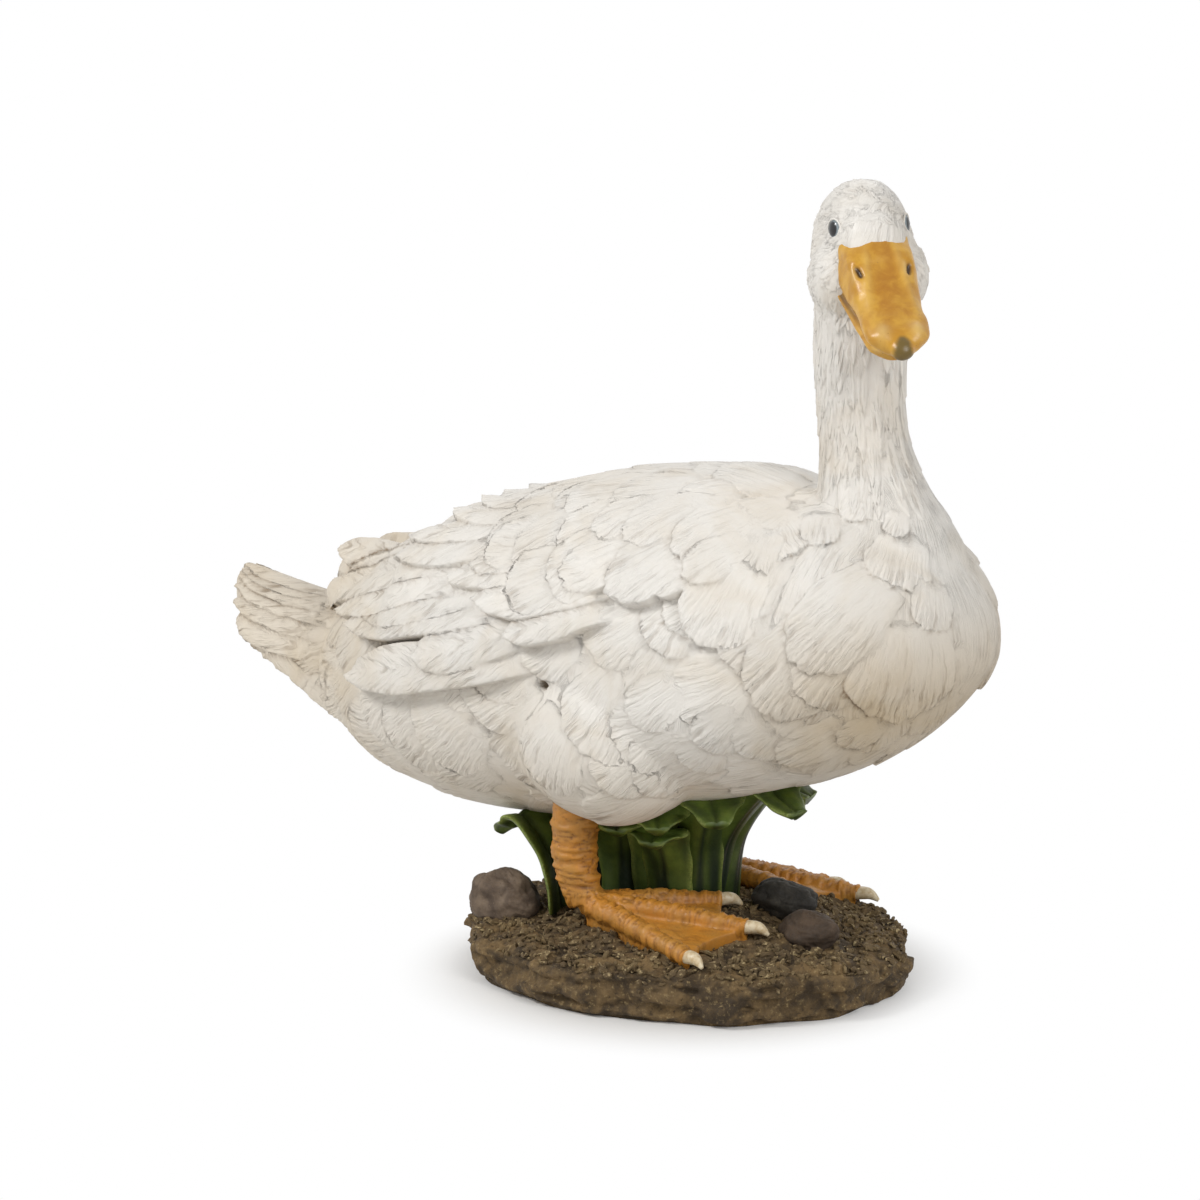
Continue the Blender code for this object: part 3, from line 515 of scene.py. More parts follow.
@dataclass(frozen=True)
class PlumagePaint(Finish):
    """Off-white paint with a warm wash and painted shade in the carved lines, painted shade low down and on
    the lower front of the breast, and warmer towards the tail.
    """

    name: str = "plumage_paint"
    white: Colour = (0.76, 0.730, 0.680)
    cream: Colour = (0.58, 0.475, 0.330)
    wash_and_shade: Colour = (0.200, 0.135, 0.075)
    barb_pitch: float = 0.0019
    barb_depth: float = 0.00300

    def paint(self, shader: Shader) -> None:
        """Builds the nodes."""
        x, _, z = shader.split()
        soft = shader.noise(260.0, 4.0)
        broken = shader.noise(95.0, 3.0)
        wander = shader.sum("MULTIPLY", shader.sum("SUBTRACT", shader.noise(60.0, 2.0), 0.5), 0.006)
        barb = shader.sum("ADD", shader.kept("barb"), wander)
        across = shader.sum("DIVIDE", barb, self.barb_pitch)
        down = shader.sum("DIVIDE", shader.kept("run"), self.barb_pitch * 11)
        place = shader.join(across, down, shader.sum("MULTIPLY", shader.kept("tone"), 40.0))
        lines = shader.noise(0.75, 3.0, place)
        combed = shader.sum("MULTIPLY", shader.kept("combed"), shader.step(broken, 0.30, 0.62, (0.30, 1.0)))
        grain = shader.noise(1500.0, 3.0)
        patches = shader.noise(24.0, 4.0, twist=0.6)
        # Painted shade: front darkens the lower front of the breast and under darkens everything low down;
        # rear only makes the tail end warmer.
        rear = shader.step(x, -0.09, -0.24)
        front = shader.sum("MULTIPLY", shader.step(x, 0.045, 0.145), shader.step(z, 0.225, 0.150))
        under = shader.sum("MULTIPLY", shader.step(z, 0.160, 0.085), 0.60)
        shade_and_rear_warmth = shader.sum("MAXIMUM", shader.sum("MAXIMUM", shader.sum("MULTIPLY", rear, 0.75), front), under)
        warm = shader.sum("ADD", shader.sum("MULTIPLY", shader.step(patches, 0.40, 0.72), 0.45), shade_and_rear_warmth)
        colour = shader.mix(shader.sum("MULTIPLY", warm, 0.72), self.white, self.cream)
        # Painted shade: a deeper brown on the lower front of the breast.
        colour = shader.mix(shader.sum("MULTIPLY", front, 0.32), colour, (0.33, 0.245, 0.150))
        tone = shader.step(shader.kept("tone"), 0.0, 1.0, (0.97, 1.02))
        colour = shader.mix(1.0, colour, shader.join(tone, tone, tone), "MULTIPLY")
        # Wash and painted shade: dark in the grooves of the comb lines and round the feather ends, stronger
        # where the painted shade low down and in front lies.
        thin = shader.sum("MULTIPLY", shader.step(lines, 0.47, 0.33), combed)
        wash_and_shade_amount = shader.sum("MULTIPLY", shader.kept("wash_and_shade"), shader.step(soft, 0.28, 0.62, (0.15, 1.0)))
        more = shader.sum("ADD", 0.80, shader.sum("MULTIPLY", shade_and_rear_warmth, 0.50))
        wash_and_shade_amount = shader.sum("MULTIPLY", wash_and_shade_amount, more)
        hair = shader.sum("MULTIPLY", thin, shader.sum("ADD", 0.30, shader.sum("MULTIPLY", shade_and_rear_warmth, 0.40)))
        wash_and_shade_amount = shader.sum("ADD", wash_and_shade_amount, hair)
        colour = shader.mix(shader.sum("MINIMUM", wash_and_shade_amount, 0.92), colour, self.wash_and_shade)
        relief = shader.bump(lines, self.barb_depth, None, combed)
        relief = shader.bump(broken, 0.0011, relief, 0.35)
        relief = shader.bump(soft, 0.00030, relief, 0.6)
        relief = shader.bump(grain, 0.00005, relief, 0.5)
        shader.set(
            Base_Color=colour,
            Roughness=shader.step(shader.sum("ADD", grain, shader.kept("gloss")), 0.3, 1.5, (0.62, 0.46)),
            Normal=relief,
        )


@dataclass(frozen=True)
class BillPaint(Finish):
    """Golden orange paint, olive on the nail, with painted shade in the nostril slits and the mouth line and
    painted highlights on the raised knobs, ridges and nostril rims.
    """

    name: str = "bill_paint"
    orange: Colour = (0.50, 0.235, 0.011)
    light: Colour = (0.63, 0.345, 0.034)
    amber: Colour = (0.38, 0.150, 0.007)
    nail: Colour = (0.135, 0.085, 0.011)
    dark: Colour = (0.035, 0.018, 0.008)

    def paint(self, shader: Shader) -> None:
        """Builds the nodes."""
        cloud = shader.noise(120.0, 4.0, twist=0.4)
        grain = shader.noise(900.0, 3.0)
        colour = shader.mix(shader.step(cloud, 0.35, 0.68), self.orange, self.light)
        deep = shader.sum("MULTIPLY", shader.kept("band"), shader.step(cloud, 0.25, 0.75, (0.95, 0.35)))
        colour = shader.mix(deep, colour, self.amber)
        # Painted highlight: paler on the raised knobs, ridges and nostril rims.
        colour = shader.mix(shader.sum("MULTIPLY", shader.kept("pale"), 0.60), colour, (0.70, 0.50, 0.20))
        cloudy = shader.sum("MULTIPLY", shader.sum("SUBTRACT", cloud, 0.5), 0.8)
        edge = shader.sum("ADD", shader.kept("nail"), cloudy)
        colour = shader.mix(shader.step(edge, 0.25, 0.80), colour, self.nail)
        specks = shader.step(shader.cells(230.0), 0.10, 0.05, (0.0, 0.5))
        colour = shader.mix(specks, colour, (0.30, 0.13, 0.02))
        # Painted shade in the nostril slits and along the mouth line.
        colour = shader.mix(shader.kept("dark"), colour, self.dark)
        relief = shader.bump(cloud, 0.0004, None, 0.5)
        relief = shader.bump(grain, 0.00006, relief, 0.6)
        shader.set(Base_Color=colour, Roughness=shader.step(grain, 0.3, 0.7, (0.30, 0.44)), Normal=relief)


@dataclass(frozen=True)
class LegPaint(Finish):
    """Orange-tan paint with brown in the folds of the skin: partly a wash, partly painted shade."""

    name: str = "leg_paint"
    orange: Colour = (0.50, 0.205, 0.022)
    tan: Colour = (0.44, 0.205, 0.034)
    fold: Colour = (0.110, 0.036, 0.006)

    def paint(self, shader: Shader) -> None:
        """Builds the nodes."""
        cloud = shader.noise(90.0, 4.0)
        grain = shader.noise(1100.0, 3.0)
        scales = shader.cells(620.0)
        colour = shader.mix(shader.step(cloud, 0.35, 0.7), self.orange, self.tan)
        # Wash and painted shade in the folds, broken up by the grain.
        grain_broken_share = shader.sum("MULTIPLY", shader.kept("fold"), shader.step(grain, 0.2, 0.7, (0.6, 1.0)))
        colour = shader.mix(grain_broken_share, colour, self.fold)
        relief = shader.bump(scales, 0.00022, None, 0.6)
        relief = shader.bump(grain, 0.00008, relief, 0.6)
        shader.set(Base_Color=colour, Roughness=shader.step(grain, 0.3, 0.7, (0.44, 0.60)), Normal=relief)


@dataclass(frozen=True)
class ClawPaint(Finish):
    """Cream paint streaked with brown."""

    name: str = "claw_paint"

    def paint(self, shader: Shader) -> None:
        """Builds the nodes."""
        streaks = shader.noise(420.0, 4.0)
        colour = shader.mix(shader.step(streaks, 0.35, 0.7), (0.70, 0.60, 0.42), (0.52, 0.38, 0.20))
        relief = shader.bump(streaks, 0.0002, None, 0.6)
        shader.set(Base_Color=colour, Roughness=shader.step(streaks, 0.3, 0.7, (0.36, 0.5)), Normal=relief)


@dataclass(frozen=True)
class EyePaint(Finish):
    """Black pupil in a blue-grey iris under gloss varnish."""

    name: str = "eye_paint"

    def paint(self, shader: Shader) -> None:
        """Builds the nodes."""
        ring = shader.kept("ring")
        fibres = shader.noise(2600.0, 2.0)
        iris = shader.mix(shader.step(fibres, 0.3, 0.7), (0.008, 0.011, 0.014), (0.030, 0.036, 0.042))
        colour = shader.mix(shader.step(ring, 0.56, 0.64), (0.003, 0.003, 0.004), iris)
        colour = shader.mix(shader.step(ring, 0.64, 0.76), colour, (0.24, 0.28, 0.30))
        shader.set(Base_Color=colour, Roughness=0.22, Normal=shader.bump(fibres, 0.00002, None, 0.3))
        shader.set(Coat_Weight=0.2, Coat_Roughness=0.06)


@dataclass(frozen=True)
class LeafPaint(Finish):
    """Deep green paint, with painted shade in the folds, low down and underneath, and painted highlights on
    the rims.
    """

    name: str = "leaf_paint"
    green: Colour = (0.066, 0.112, 0.012)
    deep: Colour = (0.006, 0.014, 0.003)
    rim: Colour = (0.260, 0.310, 0.070)

    def paint(self, shader: Shader) -> None:
        """Builds the nodes."""
        cloud = shader.noise(110.0, 4.0)
        grain = shader.noise(1000.0, 3.0)
        colour = shader.mix(shader.step(cloud, 0.3, 0.7), self.green, (0.140, 0.200, 0.026))
        # Painted highlight on the rims, broken up by the grain.
        grain_broken_share = shader.sum("MULTIPLY", shader.kept("rim"), shader.step(grain, 0.25, 0.65))
        colour = shader.mix(grain_broken_share, colour, self.rim)
        # Painted shade in the folds, low down and underneath.
        colour = shader.mix(shader.kept("crease"), colour, self.deep)
        relief = shader.bump(cloud, 0.0005, None, 0.5)
        relief = shader.bump(grain, 0.0001, relief, 0.6)
        shader.set(Base_Color=colour, Roughness=shader.step(grain, 0.3, 0.7, (0.40, 0.58)), Normal=relief)


@dataclass(frozen=True)
class StonePaint(Finish):
    """Matt stone colour with a paler dry-brushed grain and painted shade in its pits."""

    name: str = "stone_paint"
    base: Colour = (0.070, 0.046, 0.030)
    pale: Colour = (0.190, 0.138, 0.094)

    def paint(self, shader: Shader) -> None:
        """Builds the nodes."""
        cloud = shader.noise(90.0, 5.0, twist=0.5)
        grain = shader.noise(900.0, 4.0)
        pits = shader.cells(420.0)
        colour = shader.mix(shader.step(cloud, 0.32, 0.72), self.base, self.pale)
        colour = shader.mix(shader.step(grain, 0.56, 0.72, (0.0, 0.55)), colour, self.pale)
        # Painted shade: dark in the pits that the bump sinks.
        colour = shader.mix(shader.step(pits, 0.18, 0.05, (0.0, 0.6)), colour, (0.02, 0.016, 0.012))
        relief = shader.bump(cloud, 0.0012, None, 0.7)
        relief = shader.bump(pits, 0.0004, relief, 0.5)
        relief = shader.bump(grain, 0.00022, relief, 0.8)
        shader.set(Base_Color=colour, Roughness=shader.step(grain, 0.3, 0.7, (0.70, 0.90)), Normal=relief)


@dataclass(frozen=True)
class MudPaint(Finish):
    """Yellow-brown earth, pale where it is dry-brushed, with painted shade in its hollows."""

    name: str = "mud_paint"
    dark: Colour = (0.034, 0.020, 0.007)
    earth: Colour = (0.175, 0.110, 0.043)
    dry: Colour = (0.36, 0.260, 0.120)

    def paint(self, shader: Shader) -> None:
        """Builds the nodes."""
        clods = shader.noise(70.0, 5.0, twist=0.5)
        crumbs = shader.noise(420.0, 5.0, rough_share=0.65)
        grain = shader.noise(1700.0, 3.0)
        pits = shader.cells(300.0)
        # Painted shade: darker where the clods of the bump lie low.
        colour = shader.mix(shader.step(clods, 0.32, 0.70), self.dark, self.earth)
        colour = shader.mix(shader.step(crumbs, 0.54, 0.70, (0.0, 0.65)), colour, self.dry)
        colour = shader.mix(shader.step(grain, 0.60, 0.78, (0.0, 0.28)), colour, self.dry)
        # Painted shade where the crumbs of the bump lie low, and in the hollows that the mesh keeps.
        colour = shader.mix(shader.step(crumbs, 0.44, 0.32, (0.0, 0.8)), colour, self.dark)
        colour = shader.mix(shader.kept("hollow"), colour, self.dark)
        relief = shader.bump(clods, 0.0022, None, 0.6)
        relief = shader.bump(crumbs, 0.0011, relief, 0.9)
        relief = shader.bump(pits, 0.0004, relief, 0.5)
        relief = shader.bump(grain, 0.0002, relief, 0.8)
        shader.set(Base_Color=colour, Roughness=shader.step(grain, 0.3, 0.7, (0.72, 0.92)), Normal=relief)


# Earth, stones and leaves


@dataclass
class Earth:
    """Rounded patch of mud that everything stands on."""

    length: float = 0.232
    width: float = 0.194
    rim: float = 0.025
    rise: float = 0.011
    step: float = 0.00105
    chips: int = 3000
    profile: tuple[tuple[float, float], ...] = (
        (0.930, -0.30),
        (0.955, 0.00),
        (0.990, 0.30),
        (1.000, 0.58),
        (0.975, 0.88),
        (0.920, 1.03),
        (0.830, 1.12),
        (0.700, 1.20),
        (0.500, 1.34),
        (0.300, 1.42),
        (0.120, 1.44),
        (0.030, 1.44),
    )
    profile_top: int = 3

    @property
    def top(self) -> float:
        """Height of the middle of the earth."""
        return self.rim + self.rise

    def height_at(self, x: float, y: float) -> float:
        """Height of the earth under a point."""
        share = math.hypot(x / (self.length / 2), y / (self.width / 2))
        shares, heights = np.array(self.profile[self.profile_top :])[::-1].T
        return float(self.rim * np.interp(share, shares, heights))

    def on(self, x: float, y: float, above: float) -> np.ndarray:
        """Point that much above the earth."""
        return np.array((x, y, self.height_at(x, y) + above))

    def edge(self, turn: np.ndarray) -> np.ndarray:
        """How much further out the rim lies than an oval, as a share, at each angle."""
        places = [Vector((2.6 * math.cos(a), 2.6 * math.sin(a), 4.0)) for a in turn]
        return np.array([0.060 * noise.noise(place) for place in places])

    def form(self) -> Form:
        """The patch, closed below."""
        turn = np.linspace(0, 2 * math.pi, 180, endpoint=False)
        edge = self.edge(turn)
        rings = []
        for share, height in spline(self.profile, 90):
            x = self.length / 2 * share * np.cos(turn) * (1 + edge)
            y = self.width / 2 * share * np.sin(turn) * (1 + edge)
            z = np.full(len(turn), self.rim * height)
            rings.append(np.column_stack([x, y, z]))
        return loft(rings)

    def chip(self, dice: np.random.Generator) -> Form:
        """One splinter of earth about its own origin.

        Args:
            dice: Source of chance.

        Returns:
            The splinter.
        """
        long = 0.0010 + 0.0026 * dice.random() ** 2.2
        wide = long * dice.uniform(0.40, 0.80)
        thick = dice.uniform(0.0004, 0.0012)
        turn = np.linspace(0, 2 * math.pi, 6, endpoint=False)
        jag = 1 + 0.30 * dice.uniform(-1, 1, 6)
        rings = []
        for level, share in ((-1.0, 0.85), (0.3, 1.0), (1.0, 0.55)):
            corners = [long * np.cos(turn) * jag, wide * np.sin(turn) * jag, np.zeros(6)]
            ring = np.column_stack(corners) * share
            ring[:, 2] = thick * level * (1 + 0.3 * dice.uniform(-1, 1, 6))
            rings.append(ring)
        lean = Matrix.Rotation(dice.normal(0, 0.45), 4, "X") @ Matrix.Rotation(dice.normal(0, 0.45), 4, "Y")
        return loft(rings).moved(Matrix.Rotation(dice.uniform(0, 6.28), 4, "Z") @ lean)

    def build(self) -> None:
        """Makes the patch and the splinters on it."""
        obj = fused("earth", self.form(), self.step * (1), 2)
        points = points_of(obj)
        above = np.clip(points[:, 2] / self.rim, 0, 1)
        low = np.clip(points[:, 2] / 0.004, 0, 1)
        clods = rough(points, 0.019, 1.0, 3)
        crumbs = rough(points, 0.0052, 2.0, 3)
        sloping = rough(points * (0.35, 0.35, 1.6), 0.010, 6.0, 2)
        ledges = np.clip(0.5 + 3.5 * sloping, 0, 1) * (1 - np.clip((above - 0.8) / 0.2, 0, 1))
        height = (0.0034 * clods + 0.0014 * crumbs * (0.35 + 0.65 * above) + 0.0036 * (ledges - 0.5)) * low
        height = np.minimum(height, 0.0034)
        points = points + normals_of(obj) * height[:, None]
        points[:, 2] = np.maximum(points[:, 2], 0.0)
        move_points(obj, points)
        # Painted shade in the hollows between the clods and crumbs of the relief.
        keep(obj, "hollow", np.clip(-crumbs * 1.3 - 0.10 - 0.9 * clods, 0, 0.85))
        dress(obj, MudPaint())
        tree = BVHTree.FromObject(obj, bpy.context.evaluated_depsgraph_get())
        dice = np.random.default_rng(5)
        chips = []
        for _ in range(self.chips // (1)):
            share, turn = math.sqrt(dice.random()), dice.uniform(0, 2 * math.pi)
            x, y = self.length / 2 * share * math.cos(turn), self.width / 2 * share * math.sin(turn)
            place, out = tree.ray_cast(Vector((x, y, 0.1)), Vector((0, 0, -1)))[:2]
            if place is not None and place.z > 0.6 * self.rim:
                stand = out.to_track_quat("Z", "Y").to_matrix().to_4x4()
                chips.append(self.chip(dice).moved(Matrix.Translation(place + out * 0.0008) @ stand))
        litter = Form.joined(chips).to_object("earth_splinters")
        keep(litter, "hollow", np.zeros(len(litter.data.vertices)))
        paint = MudPaint("splinter_paint", (0.090, 0.058, 0.025), (0.16, 0.108, 0.045), (0.74, 0.58, 0.31))
        dress(litter, paint, 30)


@dataclass
class Stone:
    """One stone set in the earth."""

    name: str
    place: tuple[float, float, float]
    sizes: tuple[float, float, float]
    seed: float
    finish: StonePaint

    def build(self) -> None:
        """Makes the stone."""
        form = ball((0, 0, 0), (1, 1, 1), 120)
        away = Vector((self.seed * 7.0, 0, 0))
        large = np.array([noise.noise(Vector(p) * 1.3 + away) for p in form.points])
        small = rough(form.points, 0.42, self.seed, 5)
        flat = np.clip(0.25 - small, 0, 1) ** 2
        grow = 1 + 0.16 * large + 0.055 * small - 0.05 * flat
        form.points = form.points * grow[:, None] * np.array(self.sizes) / 2 + np.array(self.place)
        dress(form.to_object(self.name), self.finish)


@dataclass
class Leaf:
    """One thick blade that curls out at its end."""

    root: tuple[float, float]
    tip: tuple[float, float]
    curl: float
    reach: float


@dataclass
class Leaves:
    """Tuft of thick blades between the legs, which carries the belly."""

    earth: Earth
    trunk: "Trunk"
    width: float = 0.029
    thickness: float = 0.0052
    root_depth: float = 0.006
    in_belly: float = 0.004
    fold: float = 0.25
    blades: tuple[Leaf, ...] = (
        Leaf((-0.055, -0.034), (-0.090, -0.035), 0.55, 1.00),
        Leaf((-0.044, -0.014), (-0.084, 0.004), 0.50, 0.96),
        Leaf((-0.040, 0.012), (-0.076, 0.038), 0.45, 0.96),
        Leaf((-0.030, -0.014), (-0.015, -0.043), 0.40, 1.00),
        Leaf((-0.012, -0.011), (0.010, -0.045), 0.45, 1.00),
        Leaf((-0.002, -0.014), (0.002, -0.038), 0.30, 0.80),
        Leaf((0.008, -0.003), (0.040, -0.038), 0.50, 1.00),
        Leaf((0.012, 0.007), (0.070, -0.012), 0.60, 1.00),
        Leaf((0.014, 0.018), (0.058, 0.022), 0.45, 0.98),
        Leaf((0.004, 0.024), (0.026, 0.054), 0.40, 0.98),
        Leaf((-0.012, 0.022), (-0.014, 0.050), 0.40, 0.98),
        Leaf((-0.030, 0.022), (-0.046, 0.050), 0.40, 0.98),
    )

    def path(self, leaf: Leaf) -> np.ndarray:
        """Points of a blade's middle line, from its root to its tip."""
        foot = self.earth.top - self.root_depth
        low = np.array((*leaf.root, foot))
        tip = np.array((*leaf.tip, 0.0))
        crest = low * 0.42 + tip * 0.58
        share = (crest[0] - self.trunk.rump_x) / self.trunk.length
        crest[2] = foot + leaf.reach * (self.trunk.station(share)[0] + self.in_belly - foot)
        tip[2] = crest[2] - leaf.curl * self.width * 0.5
        waist = low * 0.80 + crest * 0.20
        waist[2] = low[2] * 0.45 + crest[2] * 0.55
        over = (crest + tip) / 2 + (0.0, 0.0, 0.15 * (crest[2] - tip[2]))
        return np.array((low, waist, crest, over, tip))

    def blade(self, leaf: Leaf, seed: int) -> tuple[Form, np.ndarray, np.ndarray]:
        """One blade.

        Args:
            leaf: Where it stands and how it leans.
            seed: Picks its small unevenness.

        Returns:
            The form, how near each point is to the rim, for its painted highlight, and how much painted shade
            it gets in the creases, low down and underneath.
        """
        path = self.path(leaf)
        outward = path[4] - path[0]
        side = np.array((-outward[1], outward[0], 0.0))
        half = self.width / 2
        widths = (half * 0.80, half * 0.86, half * 1.12, half, half * 0.45)
        rows = spline(np.column_stack([path, widths]), 90)
        along = np.gradient(rows[:, :3], axis=0)
        along /= np.linalg.norm(along, axis=1)[:, None]
        rings, rims, creases = [], [], []
        for k, (centre, way, wide) in enumerate(zip(rows[:, :3], along, rows[:, 3])):
            across = side - way * (side @ way)
            across /= np.linalg.norm(across)
            out = np.cross(way, across)
            wave = 1 + 0.07 * math.sin(k * 0.15 + seed) + 0.03 * math.sin(k * 0.41 + 2 * seed)
            sideways, upward = oval(64, wide * wave, self.thickness / 2, self.thickness / 2, 2.0)
            share = sideways / wide
            vein = np.cos(share * 4.0 + 1.7 * math.sin(k * 0.05 + seed) + seed)
            middle = -0.0009 * np.exp(-(((share - 0.12 * math.sin(k * 0.04 + seed)) / 0.11) ** 2))
            frill = 0.0011 * (share**2) * math.sin(k * 0.17 + 1.3 * seed + 1.0) * min(1.0, k / 40)
            lift = self.fold * (np.abs(sideways) - wide / 2) + (0.00030 * vein + middle) * np.sign(upward)
            lift = lift + frill
            rings.append(centre + sideways[:, None] * across + (upward + lift)[:, None] * out)
            # Painted highlight near the rims.
            rims.append(np.clip((np.abs(share) - 0.80) / 0.20, 0, 1))
            up = np.clip((centre[2] - path[0][2]) / (path[2][2] - path[0][2]), 0, 1)
            # Painted shade: in the middle groove and the veins, darker low down and on the underside.
            groove = 0.60 * np.exp(-((share / 0.13) ** 2)) + 0.45 * np.clip(-vein, 0, 1)
            shaded = 0.55 * np.clip(1 - up, 0, 1) ** 1.3 + 0.25 * (upward < 0)
            creases.append(np.clip(groove + shaded, 0, 1) * (1 - 0.7 * rims[-1]))
        return loft(rings), np.concatenate(rims), np.concatenate(creases)

    def build(self) -> None:
        """Makes the blades."""
        made = [self.blade(leaf, seed) for seed, leaf in enumerate(self.blades)]
        obj = Form.joined(form for form, _, _ in made).to_object("leaves")
        keep(obj, "rim", np.concatenate([rim for _, rim, _ in made]))
        keep(obj, "crease", np.concatenate([crease for _, _, crease in made]))
        dress(obj, LeafPaint())


# Legs and feet


@dataclass
class Foot:
    """One leg with its webbed foot and claws."""

    name: str
    side: int
    earth: Earth
    leg_shown: float = 0.035
    leg_radius: float = 0.0112
    ankle_radius: float = 0.0092
    spacing: float = 0.098
    length: float = 0.092
    toe_radius: float = 0.0056
    web_thickness: float = 0.0055
    claw_length: float = 0.011
    heel_back: float = 0.0285
    web_hollow: float = 0.07
    hind_toe_length: float = 0.016
    step: float = 0.00085
    wrinkle_pitch: float = 0.0030
    wrinkle_depth: float = 0.00140

    @property
    def spread(self) -> tuple[tuple[float, float], ...]:
        """Ends of the outer, middle and inner toe: ahead of the heel and out, in foot lengths."""
        if self.side < 0:
            return (0.82, 0.29), (0.90, -0.19), (0.56, -0.475)
        return (0.68, 0.40), (0.94, 0.27), (0.78, -0.13)

    @property
    def heel(self) -> np.ndarray:
        """Where the heel stands."""
        height = self.earth.top + self.ankle_radius * 0.6
        return np.array((-self.heel_back, self.side * self.spacing / 2, height))

    @property
    def tips(self) -> list[np.ndarray]:
        """Ends of the outer, middle and inner toe."""
        heel = self.heel[:2]
        ends = [heel + self.length * np.array((ahead, self.side * out)) for ahead, out in self.spread]
        return [self.earth.on(x, y, self.toe_radius * 0.85) for x, y in ends]

    def leg(self) -> Form:
        """Bare leg from inside the belly to the heel."""
        top = self.heel + (-0.55 * self.leg_radius, 0.0, self.leg_shown + 2.3 * self.leg_radius)
        middle = self.heel + (-0.62 * self.leg_radius, 0.0, self.leg_shown * 0.55)
        return limb((top, middle, self.heel), (self.leg_radius * 1.12, self.leg_radius, self.ankle_radius))

    def toe(self, tip: np.ndarray) -> Form:
        """Toe from the heel to its end."""
        heel = self.heel
        middle = self.earth.on((heel[0] + tip[0]) / 2, (heel[1] + tip[1]) / 2, self.toe_radius * 1.1)
        return limb((heel, middle, tip), (self.toe_radius * 1.15, self.toe_radius, self.toe_radius * 0.8))

    def hind_toe(self) -> Form:
        """Small raised toe behind the heel."""
        heel = self.heel + (0.0, 0.0, 0.7 * self.toe_radius)
        end = heel + self.hind_toe_length * np.array((-0.69, -self.side * 0.75, -0.37))
        middle = (heel + end) / 2 + (0.0, 0.0, 0.36 * self.toe_radius)
        return limb((heel, middle, end), np.array((0.93, 0.80, 0.40)) * self.toe_radius)

    def web(self) -> Form:
        """Skin between the toes, its front edges curved in."""
        heel, tips = self.heel, self.tips
        outline = [heel + (0.002, self.side * 0.004, 0.0), tips[0]]
        for start, end in zip(tips, tips[1:]):
            for share in np.linspace(0.1, 0.9, 9):
                sag = self.web_hollow * 4 * share * (1 - share)
                hollow = (start + (end - start) * share) * (1 - sag) + heel * sag
                outline.append(self.earth.on(hollow[0], hollow[1], self.toe_radius * 0.72))
            outline.append(end)
        outline.append(heel + (0.002, -self.side * 0.004, 0.0))
        rim = np.array(outline)
        return loft([rim - (0.0, 0.0, self.web_thickness * 2), rim])

    def claw(self, tip: np.ndarray) -> Form:
        """Short curved claw on a toe's end."""
        way = (tip - self.heel) * (1, 1, 0)
        way /= np.linalg.norm(way)
        middle = tip + way * self.claw_length * 0.5 + (0.0, 0.0, 0.0005)
        end = tip + way * self.claw_length - (0.0, 0.0, 0.0028)
        radii = (self.toe_radius * 0.62, self.toe_radius * 0.55, 0.0009)
        return limb((tip - way * 0.003, middle, end), radii, 24, 24)

    def build(self) -> None:
        """Makes the leg, foot and claws."""
        forms = [self.leg(), self.hind_toe(), self.web()] + [self.toe(tip) for tip in self.tips]
        obj = fused(self.name, Form.joined(forms), self.step * (1), 5)
        points, normals = points_of(obj), normals_of(obj)
        heel = self.heel
        away = np.hypot(points[:, 0] - heel[0], points[:, 1] - heel[1])
        turn = np.arctan2(points[:, 1] - heel[1], points[:, 0] - heel[0])
        on_leg = np.clip((points[:, 2] - heel[2] - 0.003) / 0.006, 0, 1)
        on_toe = np.zeros(len(points))
        for tip in self.tips:
            way = (tip - heel)[:2] / np.linalg.norm((tip - heel)[:2])
            off = np.abs((points[:, 0] - heel[0]) * way[1] - (points[:, 1] - heel[1]) * way[0])
            on_toe = np.maximum(on_toe, np.clip(1.3 - off / self.toe_radius, 0, 1))
        on_toe *= (1 - on_leg) * np.clip(away / 0.010, 0, 1)
        pitch, far = self.wrinkle_pitch, 0.016
        squeezed = np.column_stack([points[:, 0] / far, points[:, 1] / far, points[:, 2] / pitch])
        rings = rough(squeezed, 1.0, 3.0, 2)
        bands = rough(np.column_stack([away / pitch, turn * 3.0, points[:, 2] / far]), 1.0, 4.0, 2)
        rays = rough(np.column_stack([away / far, turn * 9.0, 0 * turn]), 1.0, 5.0, 2)
        wave = on_leg * rings + on_toe * bands + 0.75 * (1 - on_leg) * (1 - on_toe) * rays
        wrinkled = on_leg + on_toe + 0.6 * (1 - on_leg) * (1 - on_toe)
        crease = np.clip(1 - np.abs(wave + 0.02) / 0.13, 0, 1) * wrinkled
        height = self.wrinkle_depth * (0.9 * wave - 0.45 * crease)
        move_points(obj, points + normals * height[:, None])
        patchy = np.clip(0.8 + 0.9 * rough(points, 0.009, 8.0, 2), 0.15, 1)
        # Wash and painted shade in the creases and the low parts of the wrinkles, uneven in patches.
        fold = (0.85 * crease + np.clip(-wave - 0.10, 0, 1)) * patchy
        keep(obj, "fold", np.clip(fold * 0.98, 0, 0.92))
        dress(obj, LegPaint())
        dress(Form.joined(self.claw(tip) for tip in self.tips).to_object(self.name + "_claws"), ClawPaint())


# Bird


